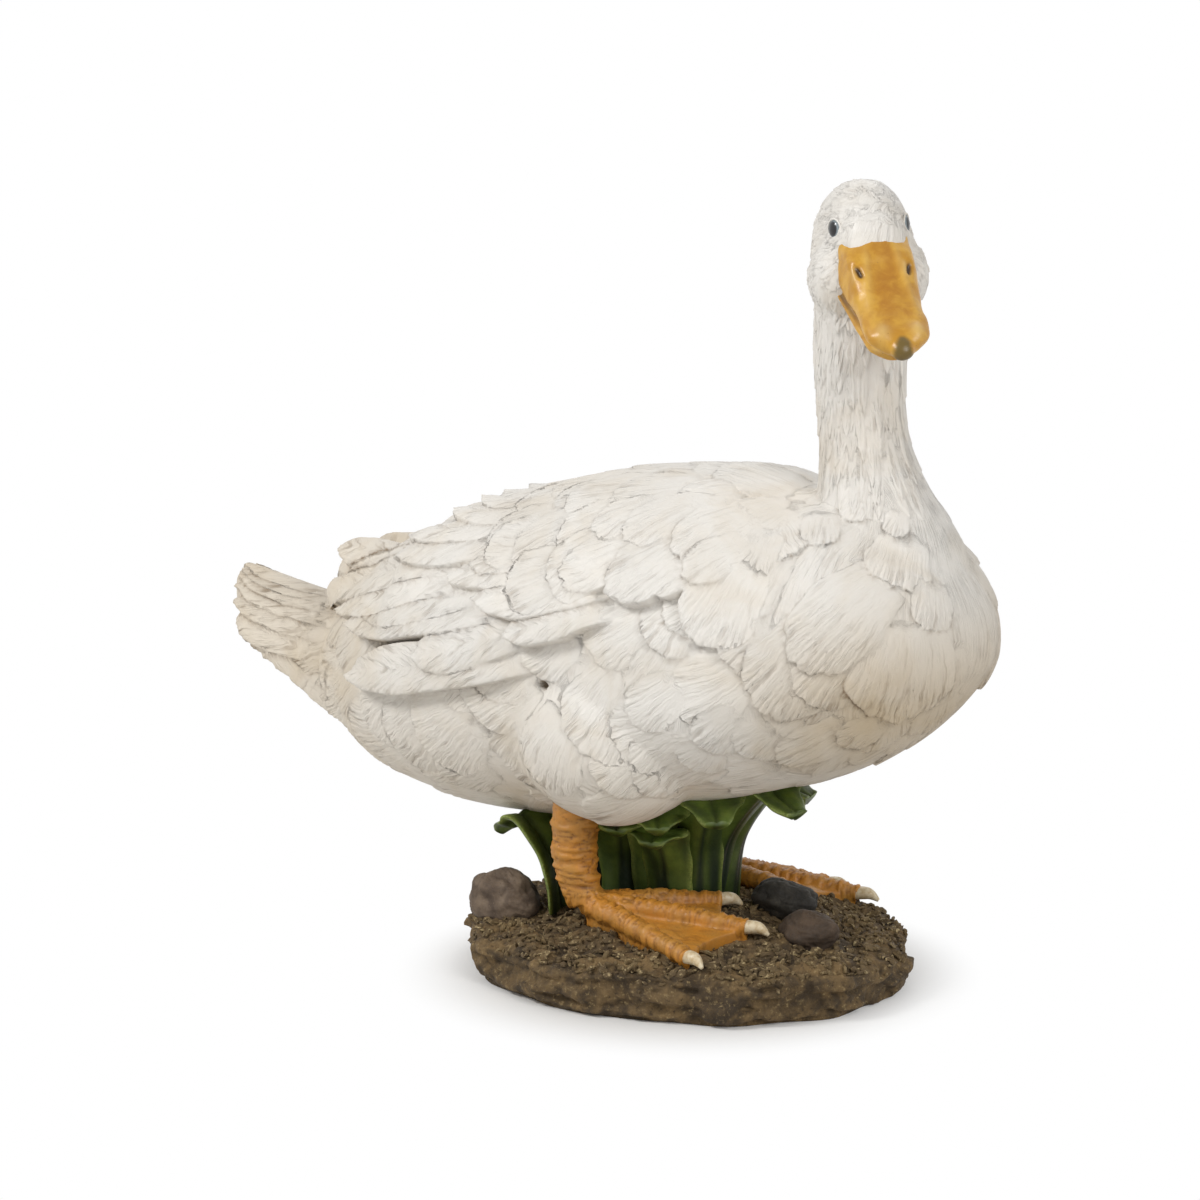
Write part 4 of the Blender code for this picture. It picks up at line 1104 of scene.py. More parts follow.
@dataclass
class Trunk:
    """Body, thighs, tail and the hind ends of the folded wings."""

    keel_z: float
    length: float = 0.385
    depth: float = 0.194
    width: float = 0.180
    breast_x: float = 0.165
    tail_length: float = 0.064
    tail_width: float = 0.068
    tail_thickness: float = 0.018
    wing_tip_length: float = 0.116
    wing_tip_depth: float = 0.046
    breast_round: float = 0.80
    stations: tuple[tuple[float, ...], ...] = (
        (0.000, 0.330, 0.400, 0.365, 0.10),
        (0.012, 0.240, 0.455, 0.350, 0.22),
        (0.050, 0.145, 0.520, 0.350, 0.38),
        (0.115, 0.062, 0.615, 0.350, 0.56),
        (0.163, 0.038, 0.690, 0.360, 0.65),
        (0.212, 0.020, 0.740, 0.368, 0.73),
        (0.232, 0.016, 0.803, 0.372, 0.76),
        (0.330, 0.002, 0.830, 0.400, 0.87),
        (0.425, 0.012, 0.885, 0.440, 0.94),
        (0.525, 0.050, 0.925, 0.470, 0.97),
        (0.625, 0.100, 0.945, 0.490, 1.00),
        (0.730, 0.155, 0.950, 0.510, 0.96),
        (0.830, 0.225, 0.935, 0.540, 0.86),
        (0.905, 0.312, 0.870, 0.560, 0.70),
        (0.958, 0.410, 0.785, 0.580, 0.49),
        (0.990, 0.500, 0.690, 0.590, 0.26),
        (1.000, 0.560, 0.630, 0.595, 0.10),
    )
    wing_stations: tuple[tuple[float, ...], ...] = (
        (0.00, 0.54, 0.630, 0.90, 0.012),
        (0.25, 0.46, 0.598, 0.96, 0.011),
        (0.50, 0.36, 0.560, 0.86, 0.009),
        (0.75, 0.25, 0.575, 0.70, 0.007),
        (0.92, 0.17, 0.595, 0.50, 0.005),
        (1.00, 0.14, 0.605, 0.26, 0.003),
    )

    @property
    def rump_x(self) -> float:
        """Where the body ends behind."""
        return self.breast_x - self.length

    @property
    def back_z(self) -> float:
        """Highest that the back could reach."""
        return self.keel_z + self.depth

    def station(self, share: float) -> tuple[float, float, float, float]:
        """Keel, back and waist height and half width at a share of the length."""
        table = np.array(self.stations)
        keel, back, waist, girth = (np.interp(share, table[:, 0], table[:, k]) for k in (1, 2, 3, 4))
        heights = (self.keel_z + level * self.depth for level in (keel, back, waist))
        return (*heights, girth * self.width / 2)

    def body(self) -> Form:
        """Trunk from rump to breast, as upright ovals."""
        rings = []
        for share, keel, back, waist, girth in spline(self.stations, 90):
            sideways, upward = oval(80, girth * self.width / 2, back - waist, waist - keel, 2.15)
            along = np.full(len(sideways), self.rump_x + share * self.length)
            rings.append(np.column_stack([along, sideways, self.keel_z + self.depth * (waist + upward)]))
        return loft(rings)

    def thigh(self, side: int) -> Form:
        """Swell of the flank over the top of a leg."""
        half = self.width / 2
        centre = (self.rump_x + 0.540 * self.length, side * 0.54 * half, self.keel_z + 0.325 * self.depth)
        return ball(centre, (0.140 * self.length, 0.500 * half, 0.260 * self.depth), 48)

    def wing_tip(self, side: int) -> Form:
        """Hind end of a folded wing, standing clear over the root of the tail."""
        start_x = self.rump_x + 0.335 * self.length
        rings = []
        for share, out, middle, deep, thick in spline(self.wing_stations, 50):
            half = deep * self.wing_tip_depth / 2
            sideways, upward = oval(40, thick, half, half, 2.3)
            along = np.full(len(sideways), start_x - share * self.wing_tip_length)
            outward = out * self.width / 2 + sideways - 0.55 * upward
            rings.append(np.column_stack([along, side * outward, self.keel_z + middle * self.depth + upward]))
        return loft(rings)

    def tail(self) -> Form:
        """Short fan of tail, arched across and thinning to its end."""
        buried = 0.033
        top = self.keel_z + 0.492 * self.depth
        rings = []
        for share in np.linspace(0, 1, 30):
            half = self.tail_width / 2 * (1.0 - 0.24 * share**2)
            thick = self.tail_thickness * (1.30 - 0.75 * share)
            sideways, upward = oval(60, half, thick / 2, thick / 2, 2.8)
            out = np.abs(sideways) / half
            reach = share * (self.tail_length + buried) * (1 - 0.22 * out**2)
            arch = (0.046 - 0.020 * share) * out**2
            height = top + 0.15 * reach - thick / 2 + upward - arch
            rings.append(np.column_stack([self.rump_x + buried - reach, sideways, height]))
        return loft(rings)

    def forms(self) -> list[Form]:
        """All the forms of the trunk."""
        forms = [self.body(), self.tail()]
        for side in SIDES:
            forms += [self.thigh(side), self.wing_tip(side)]
        return forms


@dataclass
class Neck:
    """Upright neck that flares into the breast."""

    trunk: Trunk
    radius: float = 0.0205
    shown: float = 0.105
    nape_back: float = 0.0040
    swell: tuple[tuple[float, float], ...] = (
        (0.00, 1.86),
        (0.12, 1.78),
        (0.22, 1.56),
        (0.31, 1.30),
        (0.42, 1.09),
        (0.55, 1.03),
        (0.68, 1.08),
        (0.85, 1.13),
        (1.00, 1.16),
    )

    @property
    def back_x(self) -> float:
        """Where the straight back edge of the neck is."""
        return self.trunk.rump_x + 0.773 * self.trunk.length

    @property
    def top_z(self) -> float:
        """Height of the middle of the skull."""
        return self.trunk.back_z + self.shown

    def form(self) -> Form:
        """The neck, from inside the breast to inside the skull."""
        low = self.trunk.back_z - 0.30 * self.trunk.depth
        rings = []
        for share, wide in spline(self.swell, 60):
            radius = self.radius * wide
            sideways, forward = oval(56, radius * 0.98, radius, radius)
            height = np.full(len(sideways), low + share * (self.top_z - low))
            back = self.back_x - self.nape_back * min(1.0, max(0.0, share - 0.40) / 0.30)
            rings.append(np.column_stack([back + radius + forward, sideways, height]))
        return loft(rings)


@dataclass
class Head:
    """Skull and cheeks, turned to the right."""

    neck: Neck
    length: float = 0.074
    width: float = 0.0485
    height: float = 0.068
    aside: float = -0.0005
    turn: float = math.radians(-48.8)
    lean: float = math.radians(3.5)
    eye_radius: float = 0.0046
    eye_forward: float = math.radians(27.0)
    stations: tuple[tuple[float, ...], ...] = (
        (-0.50, -0.20, 0.12, 0.10),
        (-0.46, -0.34, 0.26, 0.42),
        (-0.36, -0.46, 0.38, 0.76),
        (-0.18, -0.52, 0.47, 0.96),
        (0.02, -0.52, 0.505, 0.98),
        (0.18, -0.48, 0.48, 0.84),
        (0.31, -0.42, 0.38, 0.68),
        (0.39, -0.36, 0.24, 0.60),
        (0.45, -0.30, 0.08, 0.50),
    )

    @property
    def place(self) -> Matrix:
        """Matrix of the head's own frame: +X to the bill, +Z to the crown, from the middle of the skull."""
        turn = Matrix.Rotation(self.turn, 4, "Z") @ Matrix.Rotation(self.lean, 4, "X")
        centre = (self.neck.back_x + 0.975 * self.neck.radius, self.aside, self.neck.top_z)
        return Matrix.Translation(centre) @ turn

    def skull(self) -> Form:
        """Skull from the nape to the bill's root, as upright ovals."""
        rings = []
        for along, low, high, wide in spline(self.stations, 60):
            middle = (low + high) / 2
            sideways, upward = oval(56, wide * self.width / 2, high - middle, middle - low, 2.3, 0.09)
            forward = np.full(len(sideways), along * self.length)
            rings.append(np.column_stack([forward, sideways, self.height * (middle + upward)]))
        return loft(rings).moved(self.place)

    def cheek(self, side: int) -> Form:
        """Full cheek below and behind the eye."""
        centre = (0.08 * self.length, side * 0.285 * self.width, -0.17 * self.height)
        return ball(centre, (0.28 * self.length, 0.31 * self.width, 0.27 * self.height)).moved(self.place)

    def eye_place(self, side: int) -> Matrix:
        """Matrix of an eye's own frame: its middle, facing out and a little ahead."""
        centre = Matrix.Translation((0.215 * self.length, side * 0.365 * self.width, 0.185 * self.height))
        turn = Matrix.Rotation(-side * self.eye_forward, 4, "Z")
        return self.place @ centre @ turn @ Matrix.Translation((0.0, -side * 0.0016, 0.0))

    def eye_sizes(self) -> tuple[float, float, float]:
        """Half sizes of an eye."""
        return self.eye_radius, self.eye_radius * 0.60, self.eye_radius * 1.10

    def forms(self) -> list[Form]:
        """All the forms of the head."""
        return [self.skull()] + [self.cheek(side) for side in SIDES]

    def build_eyes(self) -> None:
        """Makes both eyes and the rims round them."""
        for side, name in zip(SIDES, ("right", "left")):
            place, sizes = self.eye_place(side), self.eye_sizes()
            eye = ball((0.0, 0.0, 0.0), sizes, 64)
            off = eye.points / sizes
            obj = eye.moved(place).to_object("eye_" + name)
            keep(obj, "ring", np.hypot(off[:, 0] + 0.06, off[:, 2] - 0.12))
            dress(obj, EyePaint())
            turn = np.linspace(0, 2 * math.pi, 49)
            out = side * sizes[1] * 0.42
            path = [(sizes[0] * 1.04 * math.cos(a), out, sizes[2] * 1.04 * math.sin(a)) for a in turn]
            rim = limb(path, (0.00050,) * len(turn), 16, 120).moved(place).to_object("eye_rim_" + name)
            for layer in ("barb", "run", "combed", "wash_and_shade", "gloss"):
                keep(rim, layer, np.zeros(len(rim.data.vertices)))
            keep(rim, "tone", np.full(len(rim.data.vertices), 0.5))
            dress(rim, PlumagePaint())


@dataclass
class Bill:
    """Broad bill with a nail at its tip, and the lower bill under it."""

    head: Head
    length: float = 0.064
    root_width: float = 0.0295
    tip_width: float = 0.0325
    root_depth: float = 0.025
    slope: float = math.radians(43.0)
    step: float = 0.00075
    nostril_along: float = 0.27
    nostril_out: float = 0.41
    upper_stations: tuple[tuple[float, ...], ...] = (
        (-0.14, 1.20, 0.00, 1.00, 0.11),
        (0.06, 1.19, 0.00, 0.96, 0.11),
        (0.22, 1.13, 0.05, 0.80, 0.12),
        (0.40, 1.03, 0.09, 0.64, 0.11),
        (0.58, 0.96, 0.09, 0.54, 0.08),
        (0.74, 0.95, 0.07, 0.47, 0.05),
        (0.87, 0.87, 0.05, 0.42, 0.03),
        (0.950, 0.58, 0.08, 0.36, 0.02),
        (1.00, 0.26, 0.14, 0.22, 0.00),
    )
    lower_stations: tuple[tuple[float, ...], ...] = (
        (-0.10, 1.26, 0.90),
        (0.15, 1.22, 0.86),
        (0.40, 1.06, 0.76),
        (0.62, 0.92, 0.68),
        (0.80, 0.76, 0.60),
        (0.88, 0.40, 0.56),
    )

    @property
    def place(self) -> Matrix:
        """Matrix of the bill's own frame: +X to its tip along the top, origin at the top of its root."""
        root = Matrix.Translation((0.42 * self.head.length, 0.0, 0.13 * self.head.height))
        return self.head.place @ root @ Matrix.Rotation(self.slope, 4, "Y")

    def upper(self) -> Form:
        """Upper bill, hollow-backed and spoon-ended."""
        rings = []
        for along, wide, dip, deep, flare in spline(self.upper_stations, 70):
            depth = deep * self.root_depth
            width = self.root_width + (self.tip_width - self.root_width) * min(max(along / 0.7, 0), 1)
            square = 2.5 + 4.5 * max(0.0, 1 - max(along, 0.0) / 0.5)
            sideways, upward = oval(72, wide * width / 2, depth / 2, depth / 2, square, flare)
            top = -dip * self.root_depth * 1.5 - depth / 2
            forward = np.full(len(sideways), along * self.length)
            rings.append(np.column_stack([forward, sideways, top + upward]))
        return loft(rings)

    def nail(self) -> Form:
        """Hard nail on the tip."""
        centre = (0.965 * self.length, 0.0, -0.26 * self.root_depth)
        return ball(centre, (0.105 * self.length, 0.18 * self.tip_width, 0.19 * self.root_depth))

    def lower(self) -> Form:
        """Lower bill, a mouth line under the upper one."""
        half = 0.20 * self.root_depth
        rings = []
        for along, wide, low in spline(self.lower_stations, 50):
            sideways, upward = oval(56, wide * self.tip_width / 2, half, half)
            forward = np.full(len(sideways), along * self.length)
            rings.append(np.column_stack([forward, sideways, upward - low * self.root_depth - 0.6 * half]))
        return loft(rings)

    def inside(self) -> Form:
        """Filling of the mouth, set back between the bills, under the painted shade of the mouth line."""
        rings = []
        for along, wide, low in spline(self.lower_stations[:4], 40):
            half = 0.10 * self.root_depth
            sideways, upward = oval(40, wide * self.tip_width / 2 * 0.90, half, half, 3.0)
            forward = np.full(len(sideways), along * self.length)
            rings.append(np.column_stack([forward, sideways, upward - low * self.root_depth + half]))
        return loft(rings)

    def build(self) -> None:
        """Makes the bill."""
        form = Form.joined((self.upper(), self.nail(), self.lower(), self.inside()))
        obj = fused("bill", form, self.step, 4)
        points = points_of(obj)
        normals = normals_of(obj)
        along, across = points[:, 0] / self.length, points[:, 1] / self.tip_width
        top = np.clip(normals[:, 2] * 2, 0, 1)
        slit = np.zeros(len(points))
        for side in SIDES:
            off_x = (along - self.nostril_along) * self.length
            off_y = points[:, 1] - side * self.nostril_out * self.root_width
            lean = off_y + side * 0.25 * off_x
            slit = np.maximum(slit, np.exp(-((off_x / 0.0030) ** 4) - (lean / 0.00115) ** 2))
        slit *= top
        knobs = sum(
            np.exp(-(((along - 0.86) / 0.075) ** 2) - ((across - side * 0.25) / 0.10) ** 2) for side in SIDES
        )
        knobs *= top
        rim = np.zeros(len(points))
        for side in SIDES:
            off_x = (along - self.nostril_along) * self.length
            off_y = points[:, 1] - side * self.nostril_out * self.root_width + 0.0022
            rim = np.maximum(rim, np.exp(-((off_x / 0.0042) ** 4) - (off_y / 0.0010) ** 2) * top)
        spread = 0.20 + 0.13 * np.clip(along / 0.6, 0, 1)
        ridges = sum(np.exp(-(((across - side * spread) / 0.055) ** 2)) for side in SIDES)
        ridges *= top * np.clip((0.80 - along) / 0.25, 0, 1) * np.clip(along / 0.16, 0, 1)
        band = np.exp(-((across / (spread * 0.80)) ** 6)) * top * np.clip((0.92 - along) / 0.25, 0, 1)
        uneven = rough(points, 0.012, 9.0, 3)
        groove = self.mouth_line(points, normals)
        height = 0.0010 * knobs + 0.0005 * ridges + 0.0004 * rim + 0.00040 * uneven
        height -= 0.0018 * slit + 0.0010 * groove + 0.0003 * band
        moved = points + normals * height[:, None]
        corner = np.clip((np.abs(across) - 0.10) / 0.30, 0, 1) * np.clip((0.18 - along) / 0.22, 0, 1)
        corner *= np.clip(points[:, 2] / self.root_depth + 0.75, 0, 1)
        moved[:, 2] -= (0.0066 - 0.0006 * np.sign(across)) * corner
        move_points(obj, moved)
        broad = 0.075 + 0.55 * np.clip(along - 0.86, 0, 1)
        nail = np.exp(-(((along - 1.01) / 0.115) ** 4) - ((across / broad) ** 2))
        # Painted shade: dark in the nostril slits and along the mouth line.
        keep(obj, "dark", np.clip(slit * 1.8 - 0.15, 0, 1) * 0.97 + groove * (1 - slit) * 0.90)
        keep(obj, "nail", nail)
        # Painted highlight on the raised knobs, ridges and nostril rims.
        keep(obj, "pale", np.clip(0.9 * knobs + 0.35 * ridges + 0.8 * rim * (1 - slit), 0, 1))
        keep(obj, "band", band)
        obj.data.transform(self.place)
        dress(obj, BillPaint())

    def mouth_line(self, points: np.ndarray, normals: np.ndarray) -> np.ndarray:
        """How far each point lies in the line between the bills.

        Args:
            points: Points in the bill's own frame.
            normals: Outward direction at each.

        Returns:
            A share for each point.
        """
        table = np.array(self.upper_stations)
        along = points[:, 0] / self.length
        low = np.interp(along, table[:, 0], 1.5 * table[:, 2] + table[:, 3]) * self.root_depth
        near = np.exp(-(((points[:, 2] + low + 0.0004) / 0.0011) ** 2))
        near *= np.clip(np.abs(normals[:, 1]) * 1.5 + 0.4, 0, 1)
        return near * np.clip(1.05 - along, 0, 1)


# Plumage


class Plume(Enum):
    """Kinds of carved feather."""

    SCALLOP = "scallop"
    LONG = "long"
    TUFT = "tuft"
    DOWN = "down"


@dataclass
class Feather:
    """One carved feather that follows a line on the skin."""

    line: np.ndarray
    outs: np.ndarray
    length: float
    width: float
    lift: float
    kind: Plume
    pointed: float = 0.0
    on_wing: bool = False
    tone: float = 0.5
    dark: float = 1.0
    ragged: float = 0.010

    def outline(self, along: np.ndarray) -> np.ndarray:
        """Half width at a share of the length, as a share of the widest."""
        root = 0.55 + 0.45 * np.clip(along / 0.5, 0, 1) ** 0.8
        tip = np.clip((along - 0.62) / 0.38, 0, 1)
        round_end = np.sqrt(np.clip(1 - tip**2.4, 0, 1))
        return root * ((1 - self.pointed) * round_end + self.pointed * (1 - tip**1.6))

    @property
    def fine(self) -> bool:
        """Whether it is a tuft or down, which lies on the relief under it."""
        return self.kind in (Plume.TUFT, Plume.DOWN)

    @property
    def long(self) -> bool:
        """Whether it is a long feather of the wing or tail."""
        return self.kind is Plume.LONG

    @property
    def phase(self) -> float:
        """Shifts the waves of its edge, so that no two feathers match."""
        return self.tone * 40.0

    def wavy(self, along: np.ndarray, across: np.ndarray) -> np.ndarray:
        """The share along it, changed so that its tip is ragged."""
        off = across / self.width
        ripple = np.sin(off * 21 + self.phase) + 0.8 * np.sin(off * 9 + 1.7 * self.phase)
        ripple = ripple + 0.6 * np.sin(off * 43 + 0.6 * self.phase)
        return along * (1 + self.ragged * ripple * np.clip(along, 0, 1))

    def half_width(self, held: np.ndarray) -> np.ndarray:
        """Half width at a share of the length, a little uneven."""
        return self.width / 2 * self.outline(held) * (1 + 0.035 * np.sin(held * 14 + self.phase))

    def comb(self, held: np.ndarray, across: np.ndarray) -> tuple[np.ndarray, np.ndarray]:
        """Which comb line points lie on, and how far along it.

        Args:
            held: Their share along the feather.
            across: Their distance across it.

        Returns:
            The place across the comb lines and the place along them, in metres.
        """
        if self.long:
            barb = held * self.length * 0.40 - np.abs(across) * 0.92
            return barb, held * self.length * 0.92 + np.abs(across) * 0.40
        spread = (1.0 if self.kind is Plume.SCALLOP else 3) * self.length
        barb = np.arctan2(across, held * self.length + spread) * (spread + self.length * 0.8)
        return barb, held * self.length

    def shape(self, held: np.ndarray, across: np.ndarray, half: np.ndarray) -> np.ndarray:
        """How far it stands up, with the lower edge of a long feather lapping over the next.

        Args:
            held: Share along the feather.
            across: Distance across it.
            half: Half its width there.

        Returns:
            The height at each point.
        """
        share = across / np.maximum(half, 1e-4)
        raised = self.lift * (0.12 + 0.88 * held**1.6) * np.clip(1 - 0.35 * share**2, 0.3, 1)
        if not self.long:
            return raised
        middle = len(self.line) // 2
        way = self.line[middle] - self.line[middle - 1]
        steep = -float(np.cross(self.outs[middle], way)[2]) / max(float(np.linalg.norm(way)), 1e-9)
        return raised * (1 + 0.60 * np.clip(share * steep * 1.4, -1, 1))

    def measure(self, points: np.ndarray) -> tuple[np.ndarray, np.ndarray]:
        """Where points lie on the feather.

        Args:
            points: The points.

        Returns:
            The share along it and the distance across it.
        """
        best = np.full(len(points), np.inf)
        along, across = np.zeros(len(points)), np.zeros(len(points))
        pieces = len(self.line) - 1
        for k in range(pieces):
            way = self.line[k + 1] - self.line[k]
            size = max(float(np.linalg.norm(way)), 1e-9)
            way = way / size
            side = np.cross(self.outs[k], way)
            from_start = points - self.line[k]
            low = -9.0 if k == 0 else 0.0
            high = 9.0 if k == pieces - 1 else 1.0
            held = np.clip(from_start @ way / size, low, high)
            gap = np.linalg.norm(from_start - held[:, None] * size * way, axis=1)
            closer = gap < best
            best = np.where(closer, gap, best)
            along = np.where(closer, (k + held) / pieces, along)
            across = np.where(closer, from_start @ side, across)
        return along, across


@dataclass(frozen=True)
class Lobe:
    """Place of one broad feather on the right side, in millimetres, and how it stands out."""

    root: tuple[float, float, float]
    tip: tuple[float, float, float]
    wide: float
    stands: float
    dark: float


@dataclass
class Relief:
    """What the feathers give each point of a skin."""

    height: np.ndarray
    wash_and_shade: np.ndarray
    barb: np.ndarray
    run: np.ndarray
    combed: np.ndarray
    tone: np.ndarray
    tuft: np.ndarray

    @staticmethod
    def plain(points: np.ndarray, middle: Vector) -> "Relief":
        """Skin without feathers, combed away from the root of the neck.

        Args:
            points: Points of the skin.
            middle: Root of the neck.

        Returns:
            The relief at each point.
        """
        away = points - np.array(middle)
        turn = np.arctan2(away[:, 1], away[:, 0])
        on_neck = np.clip(away[:, 2] / 0.030 + 0.6, 0, 1)
        barb = turn * (0.080 - 0.058 * on_neck)
        run = np.linalg.norm(away, axis=1) * (1 - on_neck) - away[:, 2] * on_neck
        flat = np.zeros(len(points))
        return Relief(flat, flat.copy(), barb, run, flat + 0.75, flat + 0.5, flat.copy())


@dataclass
class Coat:
    """Every feather of the bird, laid over one base skin."""

    trunk: Trunk
    neck: Neck
    head: Head
    skin: bpy.types.Object
    lift: float = 0.0034
    edge: float = 0.0012
    ragged: float = 0.016
    long_ragged: float = 0.008
    crease_pitch: float = 0.0036
    crease_depth: float = 0.0007
    long_crease_depth: float = 0.0004
    line_width: float = 0.0008
    fine_line_width: float = 0.0006
    shade_band_width: float = 0.0026
    wing_stands_out: float = 0.0065
    wing_fade: float = 0.040
    reach: float = 0.30
    breast_lobes: tuple[Lobe, ...] = (
        Lobe((62, 79, 120), (30, 72, 107), 22, 0.5, 0.2),
        Lobe((42, 82, 140), (22, 84, 124), 22, 0.5, 0.3),
        Lobe((68, 79, 140), (47, 74, 124), 24, 0.6, 0.5),
        Lobe((78, 83, 156), (56, 80, 137), 24, 0.6, 0.6),
        Lobe((98, 76, 152), (76, 73, 133), 26, 0.6, 0.5),
        Lobe((125, 58, 152), (100, 62, 134), 28, 0.6, 0.6),
        Lobe((140, 46, 158), (122, 53, 141), 24, 0.5, 0.8),
        Lobe((52, 88, 172), (28, 91, 152), 28, 0.5, 0.3),
        Lobe((54, 82, 209), (30, 91, 184), 32, 0.8, 0.8),
        Lobe((68, 78, 220), (42, 86, 200), 28, 0.8, 0.8),
        Lobe((96, 78, 206), (64, 87, 178), 44, 1.0, 0.7),
        Lobe((114, 71, 200), (91, 82, 162), 42, 1.0, 0.8),
        Lobe((132, 60, 198), (114, 74, 169), 34, 0.9, 0.6),
        Lobe((150, 42, 208), (145, 44, 158), 52, 1.2, 1.3),
        Lobe((138, 40, 228), (114, 71, 191), 42, 1.3, 0.6),
        Lobe((84, 60, 234), (72, 80, 208), 32, 0.9, 0.8),
        Lobe((80, 42, 250), (88, 60, 230), 28, 0.9, 0.9),
        Lobe((99, 30, 251), (106, 48, 236), 20, 0.7, 0.8),
        Lobe((134, 24, 240), (141, 39, 221), 32, 0.7, 1.0),
        Lobe((150, 20, 221), (155, 36, 203), 24, 0.5, 0.7),
        Lobe((107, 24, 261), (110, 31, 247), 16, 0.6, 0.8),
        Lobe((129, 17, 251), (131, 26, 240), 13, 0.5, 0.7),
    )
    wing_lobes: tuple[Lobe, ...] = (
        Lobe((-127, 46, 216), (-206, 16, 193), 20, 0.9, 1.0),
        Lobe((-112, 54, 213), (-190, 24, 184), 20, 0.9, 1.0),
        Lobe((-27, 93, 176), (-150, 66, 152), 26, 0.9, 0.9),
        Lobe((-38, 91, 186), (-110, 82, 163), 25, 0.9, 0.8),
        Lobe((14, 90, 206), (-50, 93, 183), 19, 0.8, 0.8),
        Lobe((-54, 88, 194), (-166, 60, 170), 23, 1.0, 1.0),
        Lobe((-68, 82, 201), (-152, 64, 179), 18, 0.9, 1.0),
        Lobe((-76, 75, 209), (-184, 44, 172), 19, 0.9, 1.0),
        Lobe((-92, 67, 215), (-202, 22, 179), 19, 0.9, 1.0),
        Lobe((8, 88, 216), (-70, 84, 197), 25, 1.1, 1.0),
        Lobe((-24, 82, 219), (-88, 73, 209), 21, 1.0, 0.9),
        Lobe((-30, 75, 226), (-78, 73, 216), 17, 0.9, 0.9),
        Lobe((-28, 66, 235), (-128, 52, 213), 21, 1.0, 1.0),
        Lobe((-33, 60, 241), (-127, 46, 220), 17, 1.0, 1.0),
        Lobe((-44, 52, 244), (-114, 36, 230), 18, 1.0, 1.0),
        Lobe((-50, 40, 249), (-108, 24, 234), 18, 0.9, 0.7),
        Lobe((-46, 26, 251), (-100, 12, 236), 20, 0.7, 0.5),
    )
    shoulder_lobes: tuple[Lobe, ...] = (
        Lobe((22, 74, 236), (-22, 84, 218), 30, 0.8, 0.3),
        Lobe((46, 70, 240), (16, 84, 216), 30, 1.0, 0.9),
        Lobe((16, 50, 250), (-14, 66, 238), 28, 0.7, 0.3),
        Lobe((38, 46, 251), (8, 68, 236), 28, 0.8, 0.5),
        Lobe((62, 46, 251), (40, 74, 230), 32, 1.0, 0.8),
        Lobe((72, 60, 240), (48, 80, 222), 22, 0.9, 0.9),
    )
    feathers: list[Feather] = field(default_factory=list)

    def __post_init__(self) -> None:
        """Reads the base skin."""
        self.tree = BVHTree.FromObject(self.skin, bpy.context.evaluated_depsgraph_get())
        self.dice = np.random.default_rng(7)
        neck_x = self.neck.back_x + 1.95 * self.neck.radius
        self.flow_from = Vector((neck_x, 0.0, self.trunk.keel_z + 1.02 * self.trunk.depth))

    def place(self, share: float, around: float, side: int) -> Vector | None:
        """Point of the trunk's skin.

        Args:
            share: Share of the body's length. Past breast_round it fans round the breast.
            around: Angle from the back, in degrees.
            side: 1 for the left, -1 for the right.

        Returns:
            The point, or None where there is none.
        """
        held = min(share, self.trunk.breast_round)
        keel, back, _, _ = self.trunk.station(held)
        turn = math.radians(around)
        ahead = math.radians(90 * (share - held) / (1 - self.trunk.breast_round))
        out = math.cos(ahead)
        way = Vector((math.sin(ahead), side * math.sin(turn) * out, math.cos(turn) * out))
        middle = Vector((self.trunk.rump_x + held * self.trunk.length, 0.0, (keel + back) / 2))
        return self.tree.ray_cast(middle + way * self.reach, -way)[0]

    def side_place(self, share: float, height: float, side: int) -> Vector | None:
        """Point of the skin seen from the side, at shares of the body's length and depth."""
        x = self.trunk.rump_x + share * self.trunk.length
        start = Vector((x, side * self.reach, self.trunk.keel_z + height * self.trunk.depth))
        return self.tree.ray_cast(start, Vector((0.0, -side, 0.0)))[0]

    def flow(self, point: Vector) -> Vector:
        """The way feathers lie there: away from the root of the neck."""
        return (point - self.flow_from).normalized()

    def lay(
        self,
        start: Vector,
        length: float,
        width: float,
        lift: float,
        kind: Plume,
        heading: Vector | Callable[[Vector], Vector],
        **more: float | bool,
    ) -> None:
        """Adds one feather.

        Args:
            start: Its root.
            length: Its length.
            width: Its width.
            lift: How far its tip stands up.
            kind: Its kind.
            heading: The way it points, or what gives it at each place.
            **more: Other fields of the feather.
        """
        here, out = self.tree.find_nearest(start)[:2]
        line, outs = [here], [out]
        steps = 7
        for _ in range(steps):
            way = heading(here) if callable(heading) else heading
            way = (way - out * way.dot(out)).normalized()
            here, out = self.tree.find_nearest(here + way * (length / steps))[:2]
            line.append(here)
            outs.append(out)
        tone = float(self.dice.random())
        traced = (np.array(line), np.array(outs))
        self.feathers.append(Feather(*traced, length, width, lift, kind, tone=tone, **more))

